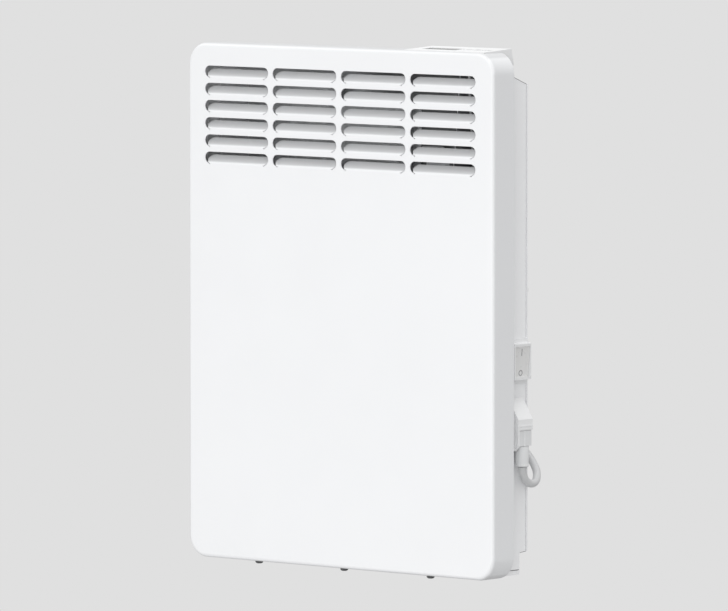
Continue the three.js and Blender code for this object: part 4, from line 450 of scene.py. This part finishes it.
def build_materials():
    materials = {
        "cover_enamel": cover_material(),
        "casing_enamel": casing_material(),
        "tray_enamel": tray_material(),
        "window_plastic": window_material(),
        "zinc_sheet": zinc_material(),
    }
    for name, values in PLASTICS.items():
        materials[name] = moulded_plastic(name, *values)
    for name, values in METALS.items():
        materials[name] = drawn_metal(name, *values)
    return materials


# ---- Nodes that keep their solids ----------------------------------------------------------

# Materials that differ from the slot's.
LOOKS = {
    "air_inlet_tray": "tray_enamel", "switch_housing": "frame_plastic",
    "gland_hood": "frame_plastic", "key_minus": "key_plastic", "key_menu": "key_plastic",
    "key_plus": "key_plastic",
}
# Widths of the rounded edges, in millimetres. The other nodes keep their edges.
BEVELS = {
    "front_cover": 0.22, "rear_casing": 0.35, "air_inlet_tray": 0.2, "wall_bracket": 0.3,
    "control_cap": 0.45, "control_carrier": 0.3, "display_window": 0.12, "display_board": 0.1,
    "display_module": 0.2, "key_minus": 0.3, "key_menu": 0.3, "key_plus": 0.3,
    "switch_housing": 0.25, "gland_hood": 0.25, "gland_clamp": 0.3, "coil_tie": 0.4,
    "element_fins": 0.15, "partition_plate": 0.15, "heat_shield": 0.15,
    "element_end_plate": 0.15, "terminal_block": 0.5, "relay": 0.5, "cutout_bracket": 0.15,
    "sensor_clip": 0.3,
}
SHARP_ANGLE = math.radians(32.0)  # an edge that turns by more is rounded
FINER_ANGLES = {"gland_hood": math.radians(20.0)}
TRIANGLES_KEPT = ("front_cover",)  # its merged faces would shade with a line down the front
FLAT_ANGLE = math.radians(0.6)  # triangles that turn by less are merged
WELD_DISTANCE = 0.002 * MM


def smooth(mesh):
    mesh.polygons.foreach_set("use_smooth", [True] * len(mesh.polygons))


def refine(name, node):
    """Rounds the edges of a node's solid and shades its curves smoothly."""
    mesh = node.data
    smooth(mesh)
    for layer in [a.name for a in mesh.attributes if a.name == "custom_normal"]:
        mesh.attributes.remove(mesh.attributes[layer])
    weld = node.modifiers.new("weld", "WELD")
    weld.merge_threshold = WELD_DISTANCE
    if name not in TRIANGLES_KEPT:
        plain = node.modifiers.new("plain", "DECIMATE")
        plain.decimate_type = "DISSOLVE"
        plain.angle_limit = FLAT_ANGLE
    if name in BEVELS:
        edges = node.modifiers.new("edges", "BEVEL")
        edges.width = BEVELS[name] * MM
        edges.segments = 2
        edges.limit_method = "ANGLE"
        edges.angle_limit = FINER_ANGLES.get(name, SHARP_ANGLE)
    weighted = node.modifiers.new("weighted", "WEIGHTED_NORMAL")
    weighted.weight = 100  # flat faces keep their own normals


def dress_nodes(materials):
    for name, node in nodes.items():
        node.data.materials.clear()
        node.data.materials.append(materials[LOOKS.get(name, SLOTS[name])])
        refine(name, node)


# ---- Making pieces -------------------------------------------------------------------------

CURVE_RESOLUTION = 6
SPLIT_ANGLE = math.radians(40.0)
MERGE_DISTANCE = 0.001 * MM


def stand_for(piece, *names):
    """The piece rides on the body of the nodes that it replaces, and these are hidden."""
    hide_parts(*names)
    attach(piece, nodes[names[0]]["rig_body"])


def round_curve(name, points, diameter, material, roundness=3):
    """A smooth round strand through the points, as one open spline."""
    data = bpy.data.curves.new(name, "CURVE")
    data.dimensions = "3D"
    data.bevel_depth = diameter / 2
    data.bevel_resolution = roundness
    data.use_fill_caps = True
    data.resolution_u = CURVE_RESOLUTION
    spline = data.splines.new("BEZIER")
    spline.bezier_points.add(len(points) - 1)
    for knot, point in zip(spline.bezier_points, points):
        knot.co = point
        knot.handle_left_type = knot.handle_right_type = "AUTO"
    data.materials.append(material)
    return add_object(name, data)


def bridge(shell, low, high):
    """The faces between two rings of points, or between a ring and a single point."""
    for i in range(max(len(low), len(high))):
        j = i + 1
        corners = (low[i % len(low)], low[j % len(low)], high[j % len(high)], high[i % len(high)])
        shell.faces.new(list(dict.fromkeys(corners)))


def mesh_piece(name, shell, material):
    bmesh.ops.recalc_face_normals(shell, faces=shell.faces)
    mesh = bpy.data.meshes.new(name)
    shell.to_mesh(mesh)
    shell.free()
    mesh.materials.append(material)
    return add_object(name, mesh)


def shade_curves(piece):
    """Smooth shading that breaks at the sharp edges."""
    smooth(piece.data)
    edges = piece.modifiers.new("edges", "EDGE_SPLIT")
    edges.split_angle = SPLIT_ANGLE


# ---- Mains lead ----------------------------------------------------------------------------

CORD_DIAMETER = 6.8 * MM
CORD_ROUNDNESS = 6
# From the bend relief round behind the casing to where the coil starts.
LEAD_ROUTE = [
    (165.3, -51.8, -130.3), (165.3, -51.5, -133.2), (165.3, -50, -137.6),
    (165.2, -47.2, -141.5), (165.1, -43.4, -144.2), (164.8, -39, -145.5),
    (164.1, -34.5, -145.2), (162.6, -30, -143.6), (160.1, -25.7, -141.2),
    (156.9, -21.8, -138.4), (153.1, -18.4, -135.3), (148.7, -15.6, -131.9),
    (143.9, -13.5, -128), (138.6, -12.3, -123.5), (132.8, -12, -118.5),
    (126.3, -12, -112.4), (119.3, -12, -105.5), (113.1, -12, -99.3),
]
# The coil is wound inwards in its first layer and outwards in its second. Millimetres.
COIL_X = 77.0
COIL_Z = -125.3
COIL_FIRST_Y = -12.0
COIL_LAYER_PITCH = 7.3
COIL_INNER_RADIUS = 31.0
COIL_TURN_PITCH = 7.4
COIL_TURNS_PER_LAYER = 1.75
COIL_TURNS = 2 * COIL_TURNS_PER_LAYER
COIL_CLIMB = 0.25  # turns on each side of the middle, where it changes its layer
COIL_START = math.radians(45.0)
COIL_STEPS = 24  # a turn


def smoothstep(value, low, high):
    t = min(1.0, max(0.0, (value - low) / (high - low)))
    return t * t * (3.0 - 2.0 * t)


def coil_angle(turn):
    return COIL_START + 2 * math.pi * turn


def coil_point(turn):
    middle = COIL_TURNS_PER_LAYER
    radius = COIL_INNER_RADIUS + COIL_TURN_PITCH * abs(turn - middle)
    climb = COIL_LAYER_PITCH * smoothstep(turn, middle - COIL_CLIMB, middle + COIL_CLIMB)
    angle = coil_angle(turn)
    return Vector((COIL_X + radius * math.cos(angle), COIL_FIRST_Y - climb,
                   COIL_Z + radius * math.sin(angle)))


def coil_tail(run):
    """The point `run` millimetres along the straight that the coil ends on."""
    angle = coil_angle(COIL_TURNS)
    return coil_point(COIL_TURNS) + Vector((-math.sin(angle), 0.0, math.cos(angle))) * run


def cord_route():
    steps = round(COIL_TURNS * COIL_STEPS)
    coil = [coil_point(COIL_TURNS * i / steps) for i in range(steps + 1)]
    points = [Vector(p) for p in LEAD_ROUTE] + coil + [coil_tail(CORD_DIAMETER / MM)]
    return [p * MM for p in points]


# The bare cores beyond the jacket, in millimetres, and how far round each one lies, in degrees.
CORE_TURNS = {"core_line": 90.0, "core_neutral": 210.0, "core_earth": 330.0}
CORE_DIAMETER = 2.2
CORE_OFFSET = 1.4
CORE_START = 7.1
CORE_LENGTH = 34.0
CORE_STRAIGHT = 4.0
CORE_SPREAD = 3.5
FERRULE_GAP = 0.3
FERRULE_LENGTH = 8.0
FERRULE_DIAMETER = 1.8


def core_routes(turn):
    """The points of a core, which spreads on its way, and those of its ferrule."""
    angle = coil_angle(COIL_TURNS)
    out = Vector((math.cos(angle), 0.0, math.sin(angle)))
    back = Vector((0.0, 1.0, 0.0))
    aside = out * math.cos(math.radians(turn)) + back * math.sin(math.radians(turn))

    def at(run, spread):
        return (coil_tail(CORE_START + run) + aside * (CORE_OFFSET + spread)) * MM

    core = [at(0, 0), at(CORE_STRAIGHT, 0), at(CORE_LENGTH / 2, CORE_SPREAD / 2),
            at(CORE_LENGTH - CORE_STRAIGHT, CORE_SPREAD), at(CORE_LENGTH, CORE_SPREAD)]
    start = CORE_LENGTH + FERRULE_GAP
    ferrule = [at(start + FERRULE_LENGTH * share, CORE_SPREAD) for share in (0.0, 0.5, 1.0)]
    return core, ferrule


def add_cord(materials):
    points = cord_route()
    cord = round_curve("mains_lead", points, CORD_DIAMETER, materials["cord_jacket"],
                       CORD_ROUNDNESS)
    stand_for(cord, "cord_lead", "cord_coil")
    carried = [nodes["coil_tie"]]
    for core, turn in CORE_TURNS.items():
        core_points, ferrule_points = core_routes(turn)
        strand = round_curve(f"{core}_strand", core_points, CORE_DIAMETER * MM,
                             materials[SLOTS[core]])
        stand_for(strand, core)
        ferrule = core.replace("core", "ferrule")
        tube = round_curve(f"{ferrule}_tube", ferrule_points, FERRULE_DIAMETER * MM,
                           materials[SLOTS[ferrule]])
        stand_for(tube, ferrule)
        carried += [strand, tube]


# ---- Wires inside the casing ---------------------------------------------------------------

WIRE_DIAMETER = 2.4 * MM
WIRE_ROUNDNESS = 4
FRONT_DEPTH = 100.0  # of the front face in front of the wall
# Each point: x, the depth behind the front face, z.
WIRE_ROUTES = {
    "wire_element_right": [
        (135.4, 34, -120), (139, 34, -120), (145, 36, -122), (147, 45, -126), (147, 52, -131),
        (147, 53, -137.7)],
    "wire_element_left": [
        (-150.4, 34, -120), (-152.6, 34, -120.4), (-154.4, 35, -124), (-154.6, 40, -145),
        (-150, 50, -180), (-138, 55, -196), (-120, 56, -200.5), (-60, 56, -200.5),
        (0, 56, -200.5), (60, 56, -200.5), (108, 56, -200.5), (122, 55.5, -197.1),
        (130, 54, -188.1), (132, 53, -179.9), (132, 53, -172.3)],
    "wire_switch_line": [
        (126.4, 49, -49.2), (122.5, 49, -50), (119.5, 50, -58), (119, 52, -90.2),
        (121, 53, -116.2), (129, 53, -125.2), (132, 53, -131.2), (132, 53, -137.7)],
    "wire_switch_load": [
        (126.4, 49, -31.2), (122.5, 49, -30), (119.5, 48, -22), (117.55, 46, 0),
        (117.55, 46, 17.7)],
    "wire_display": [
        (117.55, 40, 96.3), (117.55, 40, 104.3), (119.05, 38, 130.3), (120, 34, 170.2),
        (120, 32, 195.2), (120, 32, 205.2), (120, 32, 216.9)],
    "wire_sensor": [
        (149.5, 31.7, -216.6), (149.5, 29, -216.6), (150, 26, -213), (152, 28, -200),
        (153, 29, -120), (153, 29, -40.2), (146, 30, -10.2), (127.95, 33, 2),
        (118.45, 34, 10), (117.55, 34, 17.7)],
}
INNER_LEAD_ROUTE = [
    (163, 48.2, -94), (154, 48.2, -94), (147.5, 48.6, -97), (143, 49.8, -105),
    (141, 51.2, -118), (140, 52.5, -128), (140, 53, -137.7)]


def inner_route(points):
    return [Vector((x, depth - FRONT_DEPTH, z)) * MM for x, depth, z in points]


def add_wires(materials):
    for name, points in WIRE_ROUTES.items():
        wire = round_curve(f"{name}_run", inner_route(points), WIRE_DIAMETER,
                           materials[SLOTS[name]], WIRE_ROUNDNESS)
        stand_for(wire, name)
    lead = round_curve("inner_lead_run", inner_route(INNER_LEAD_ROUTE), CORD_DIAMETER,
                       materials["cord_jacket"], CORD_ROUNDNESS)
    stand_for(lead, "inner_lead")


# ---- Turned pieces -------------------------------------------------------------------------

LATHE_SIDES = 64


def lathe(name, profile, place, axis, material):
    """A turned piece: the profile is (radius, height) pairs, from the axis to the axis."""
    shell = bmesh.new()
    angles = [2 * math.pi * i / LATHE_SIDES for i in range(LATHE_SIDES)]
    rings = []
    for radius, height in profile:
        spots = [(math.cos(a), math.sin(a)) for a in angles] if radius else [(0.0, 0.0)]
        rings.append([shell.verts.new((radius * MM * x, radius * MM * y, height * MM))
                      for x, y in spots])
    for low, high in zip(rings, rings[1:]):
        bridge(shell, low, high)
    piece = mesh_piece(name, shell, material)
    piece.data.transform(Vector(axis).to_track_quat("Z", "Y").to_matrix().to_4x4())
    piece.data.transform(Matrix.Translation(place))
    shade_curves(piece)
    return piece


def foot_and_height(name):
    """The middle of the underside of a node's box, and the box's height in millimetres."""
    low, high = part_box(name)
    foot = Vector(((low.x + high.x) / 2, (low.y + high.y) / 2, low.z))
    return foot, (high.z - low.z) / MM


RELIEF_NECK = 3.9  # its radius inside the clamp
RELIEF_SHOULDER = 17.7  # its height above the foot


def add_strain_relief(materials):
    foot, length = foot_and_height("strain_relief")
    profile = [(0, 0), (4.4, 0), (5.2, 0.12), (5.75, 0.5), (5.98, 1.0), (5.98, 1.35),
               (5.8, 1.75), (5.7, 2.2), (5.72, 3.5), (5.98, RELIEF_SHOULDER - 0.4),
               (5.9, RELIEF_SHOULDER), (RELIEF_NECK, RELIEF_SHOULDER),
               (RELIEF_NECK, length - 0.2), (RELIEF_NECK - 0.3, length), (0, length)]
    sleeve = lathe("strain_relief_sleeve", profile, foot, (0, 0, 1), materials["grey_plastic"])
    stand_for(sleeve, "strain_relief")


BUMPER_PROFILE = [
    (0, 0), (9.45, 0), (9.5, 2.4), (9.38, 3.1), (9.05, 3.6), (8.5, 3.9), (7.9, 4.0),
    (6.2, 4.0), (5.9, 3.85), (5.6, 3.4), (5.2, 3.3), (0, 3.3)]


def add_bumpers(materials):
    for _, hand in SIDES:
        low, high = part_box(f"rear_bumper_{hand}")
        seat = Vector(((low.x + high.x) / 2, low.y, (low.z + high.z) / 2))
        bumper = lathe(f"rear_bumper_{hand}_pad", BUMPER_PROFILE, seat, (0, 1, 0),
                       materials["grey_rubber"])
        stand_for(bumper, f"rear_bumper_{hand}")


SCREW_HEAD = 2.3
SCREW_HEAD_PROFILE = [
    (0, 1.1), (1.1, 1.1), (1.2, 0.3), (1.4, 0.25), (1.9, 0.3), (2.6, 0.6), (3.1, 1.05),
    (3.4, 1.6), (3.5, SCREW_HEAD - 0.15), (3.45, SCREW_HEAD), (1.7, SCREW_HEAD)]
THREAD_CORE = 1.45
THREAD_CREST = 1.7
THREAD_PITCH = 0.6
THREAD_RUNOUT = 0.4  # below the head
SCREW_POINT = 1.9


def add_screws(materials):
    for number in (1, 2, 3):
        foot, length = foot_and_height(f"cover_screw_{number}")
        profile = list(SCREW_HEAD_PROFILE)
        thread = SCREW_HEAD + THREAD_RUNOUT
        while thread < length - SCREW_POINT:
            profile += [(THREAD_CORE, thread), (THREAD_CREST, thread + 0.25),
                        (THREAD_CORE, thread + 0.5)]
            thread += THREAD_PITCH
        profile += [(1.4, length - 1.4), (0.5, length - 0.1), (0, length)]
        screw = lathe(f"cover_screw_{number}_head", profile, foot, (0, 0, 1),
                      materials["screw_black"])
        stand_for(screw, f"cover_screw_{number}")


# ---- Rocker --------------------------------------------------------------------------------

ROCKER_PIVOT = Vector(next(j for j in frame["joints"] if j["name"] == "rocker_tilt")["pos_m"])
ROCKER_TILT = math.radians(5.0)
# Millimetres, and measured from the pivot where they lie outwards.
ROCKER_HALF_WIDTH = 9.65
ROCKER_HALF_HEIGHT = 13.55
ROCKER_FACE = 6.2
ROCKER_DISH = 5.7  # the floor of the dish in its face
ROCKER_KEEL = -3.0
ROCKER_KEEL_HALF = 5.0
WELL_REACH = 14.1  # of the straight part of the well's ends, up and down
WELL_RADIUS = 15.05
WELL_TOP = 7.6
WELL_STEPS = 8


def rocker_turn():
    """From the rocker's own axes, (to the rear, up along the face, outwards), to the world."""
    out = Vector((math.cos(ROCKER_TILT), 0.0, -math.sin(ROCKER_TILT)))
    up = Vector((math.sin(ROCKER_TILT), 0.0, math.cos(ROCKER_TILT)))
    back = Vector((0.0, 1.0, 0.0))
    return Matrix.Translation(ROCKER_PIVOT) @ Matrix((back, up, out)).transposed().to_4x4()


def round_rectangle(half_u, half_v, corner):
    """Four points round each corner."""
    points = []
    for sign_u, sign_v, start in ((1, 1, 0), (-1, 1, 90), (-1, -1, 180), (1, -1, 270)):
        for step in range(4):
            angle = math.radians(start + 30 * step)
            points.append((sign_u * (half_u - corner) + corner * math.cos(angle),
                           sign_v * (half_v - corner) + corner * math.sin(angle)))
    return points


def add_rocker(materials):
    """The rocker's shell: rings from the keel up its ends, over the rim and into the dish."""
    half = ROCKER_HALF_WIDTH
    reach = ROCKER_HALF_HEIGHT
    # Each ring: half its width, half its height, how far out it lies, the radius of its corners.
    rings = [
        (half, ROCKER_KEEL_HALF, ROCKER_KEEL, 0.0),
        (half, reach, 1.5, 0.0),
        (half, reach + 0.1, 3.2, 0.0),
        (half, reach, ROCKER_FACE - 0.45, 0.25),
        (half - 0.1, reach - 0.12, ROCKER_FACE - 0.15, 0.3),
        (half - 0.4, reach - 0.4, ROCKER_FACE, 0.4),
        (half - 0.9, reach - 0.9, ROCKER_FACE, 0.5),
        (half - 1.25, reach - 1.25, ROCKER_DISH + 0.06, 0.6),
        (half - 1.5, reach - 1.5, ROCKER_DISH, 0.7),
    ]
    shell = bmesh.new()
    loops = [[shell.verts.new((u * MM, v * MM, out * MM))
              for u, v in round_rectangle(half_u, half_v, corner)]
             for half_u, half_v, out, corner in rings]
    for low, high in zip(loops, loops[1:]):
        bridge(shell, low, high)
    shell.faces.new(loops[0])
    shell.faces.new(loops[-1])
    bmesh.ops.remove_doubles(shell, verts=shell.verts, dist=MERGE_DISTANCE)
    bmesh.ops.dissolve_degenerate(shell, edges=shell.edges, dist=MERGE_DISTANCE)
    button = mesh_piece("rocker_button", shell, materials["rocker_plastic"])
    button.data.transform(rocker_turn())
    shade_curves(button)
    stand_for(button, "switch_rocker")


def add_well_ends(materials):
    """The round ends of the well, which follow the rocker's swing."""
    half = (ROCKER_HALF_WIDTH + 0.05) * MM
    start = math.acos(WELL_REACH / WELL_RADIUS)
    stop = math.asin(WELL_TOP / WELL_RADIUS)
    angles = [start + (stop - start) * i / WELL_STEPS for i in range(WELL_STEPS + 1)]
    outline = [(WELL_TOP, WELL_REACH)]
    outline += [(WELL_RADIUS * math.sin(a), WELL_RADIUS * math.cos(a)) for a in angles]
    for side, name in ((1, "rocker_well_top"), (-1, "rocker_well_foot")):
        shell = bmesh.new()
        walls = [[shell.verts.new(ROCKER_PIVOT + Vector((out * MM, y, side * up * MM)))
                  for out, up in outline] for y in (-half, half)]
        for wall in walls:
            shell.faces.new(wall)
        bridge(shell, *walls)
        piece = mesh_piece(name, shell, materials["frame_plastic"])
        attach(piece, "heater")


# ---- Marks ---------------------------------------------------------------------------------

MARK_RISE = 0.05


def flat_mark(name, outlines, material, turn):
    """A thin raised mark: closed outlines, filled between, put in place by `turn`."""
    data = bpy.data.curves.new(name, "CURVE")
    data.dimensions = "2D"
    data.fill_mode = "BOTH"
    data.extrude = MARK_RISE * MM / 2
    for outline in outlines:
        spline = data.splines.new("POLY")
        spline.points.add(len(outline) - 1)
        for point, (u, v) in zip(spline.points, outline):
            point.co = (u * MM, v * MM, 0.0, 1.0)
        spline.use_cyclic_u = True
    shape = add_object(name + "_outline", data)
    solid = shape.evaluated_get(bpy.context.evaluated_depsgraph_get())
    mesh = bpy.data.meshes.new_from_object(solid)
    bpy.data.objects.remove(shape)
    mesh.name = name
    mesh.transform(turn)
    mesh.materials.clear()
    mesh.materials.append(material)
    return add_object(name, mesh)


def ring(radius, centre, sides=48):
    angles = [2 * math.pi * i / sides for i in range(sides)]
    return [(centre[0] + radius * math.cos(a), centre[1] + radius * math.sin(a)) for a in angles]


def bar(width, height, centre=(0.0, 0.0)):
    (u, v), w, h = centre, width / 2, height / 2
    return [(u - w, v - h), (u + w, v - h), (u + w, v + h), (u - w, v + h)]


OFF_CENTRE = (0.0, -9.3)
ROCKER_MARKS = {
    "rocker_mark_on": [bar(1.0, 6.0, (0.0, 8.6))],
    "rocker_mark_off": [ring(2.6, OFF_CENTRE), ring(1.75, OFF_CENTRE)],
}
KEY_MARKS = {
    "key_minus": [bar(3.0, 0.5)],
    "key_menu": [bar(2.8, 0.4, (0.0, v)) for v in (-1.0, 0.0, 1.0)],
    "key_plus": [bar(3.0, 0.5), bar(0.5, 1.25, (0.0, 0.875)), bar(0.5, 1.25, (0.0, -0.875))],
}


def add_rocker_marks(materials):
    face = Matrix.Translation((0.0, 0.0, (ROCKER_DISH + MARK_RISE / 2) * MM))
    for name, outlines in ROCKER_MARKS.items():
        piece = flat_mark(name, outlines, materials["mark_grey"], rocker_turn() @ face)
        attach(piece, "rocker")


def add_key_marks(materials):
    for key, outlines in KEY_MARKS.items():
        low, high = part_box(key)
        middle = (low + high) / 2
        top = Matrix.Translation((middle.x, middle.y, high.z + MARK_RISE * MM / 2))
        for number, outline in enumerate(outlines, 1):
            piece = flat_mark(f"{key}_mark_{number}", [outline], materials["key_mark"], top)
            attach(piece, key)


# ---- Painted seam shadows ------------------------------------------------------------------

SEAM_X = CASING_SIDE - 0.05 * MM
SEAM_WIDTH = 0.45 * MM
LIP_SEAM_WIDTH = 0.25 * MM
LIP_WIDTH = 1.2 * MM  # of the rear sheet's lip over the side
LIP_BREAK = (-20.0 * MM, -60.5 * MM)  # where the switch's bezel covers its seam


def add_seam_shadow(name, start, end, width, materials):
    """A painted shadow line in the gap where two sheets meet."""
    seam = round_curve(name, [start, (start + end) / 2, end], width, materials["seam_shadow"])
    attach(seam, "heater")


def add_roof_seams(materials):
    """A painted shadow line at the seam between the roof sheet and each side of the casing."""
    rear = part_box("rear_casing")[1].y
    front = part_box("front_cover")[1].y + 2.0 * MM
    under = 0.35 * MM
    for side, hand in SIDES:
        start, end = (Vector((side * SEAM_X, y, ROOF_REAR_Z + (rear - y) * ROOF_SLOPE - under))
                      for y in (front, rear))
        add_seam_shadow(f"roof_seam_shadow_{hand}", start, end, SEAM_WIDTH, materials)


def add_side_seam_shadows(materials):
    """Painted shadow lines under the casing's step, over the inlet tray and along the rear
    sheet's lip.
    """
    low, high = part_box("rear_casing")
    rear = high.y
    lip = rear - LIP_WIDTH
    tray = low.z + 0.2 * MM
    # Each run is a painted shadow along a joint, from its start to its end as (y, z).
    runs = {
        "step_seam_shadow": ((rear - 9.0 * MM, STEP_Z - 0.7 * MM), (rear, STEP_Z + 0.3 * MM)),
        "tray_seam_shadow": ((rear - 30.0 * MM, tray), (rear - 10.0 * MM, tray)),
        "lip_seam_shadow_upper": ((lip, ROOF_REAR_Z), (lip, LIP_BREAK[0])),
        "lip_seam_shadow_lower": ((lip, LIP_BREAK[1]), (lip, STEP_Z)),
    }
    for side, hand in SIDES:
        for name, (start, end) in runs.items():
            width = LIP_SEAM_WIDTH if name.startswith("lip") else SEAM_WIDTH
            add_seam_shadow(f"{name}_{hand}", Vector((side * SEAM_X, *start)),
                     Vector((side * SEAM_X, *end)), width, materials)


# ---- The scene -----------------------------------------------------------------------------


def build():
    add_camera()
    materials = build_materials()
    add_light()
    add_floor()
    dress_nodes(materials)
    add_cord(materials)
    add_wires(materials)
    add_strain_relief(materials)
    add_bumpers(materials)
    add_screws(materials)
    add_rocker(materials)
    add_well_ends(materials)
    add_rocker_marks(materials)
    add_key_marks(materials)
    add_roof_seams(materials)
    add_side_seam_shadows(materials)
    bpy.context.view_layer.update()


build()
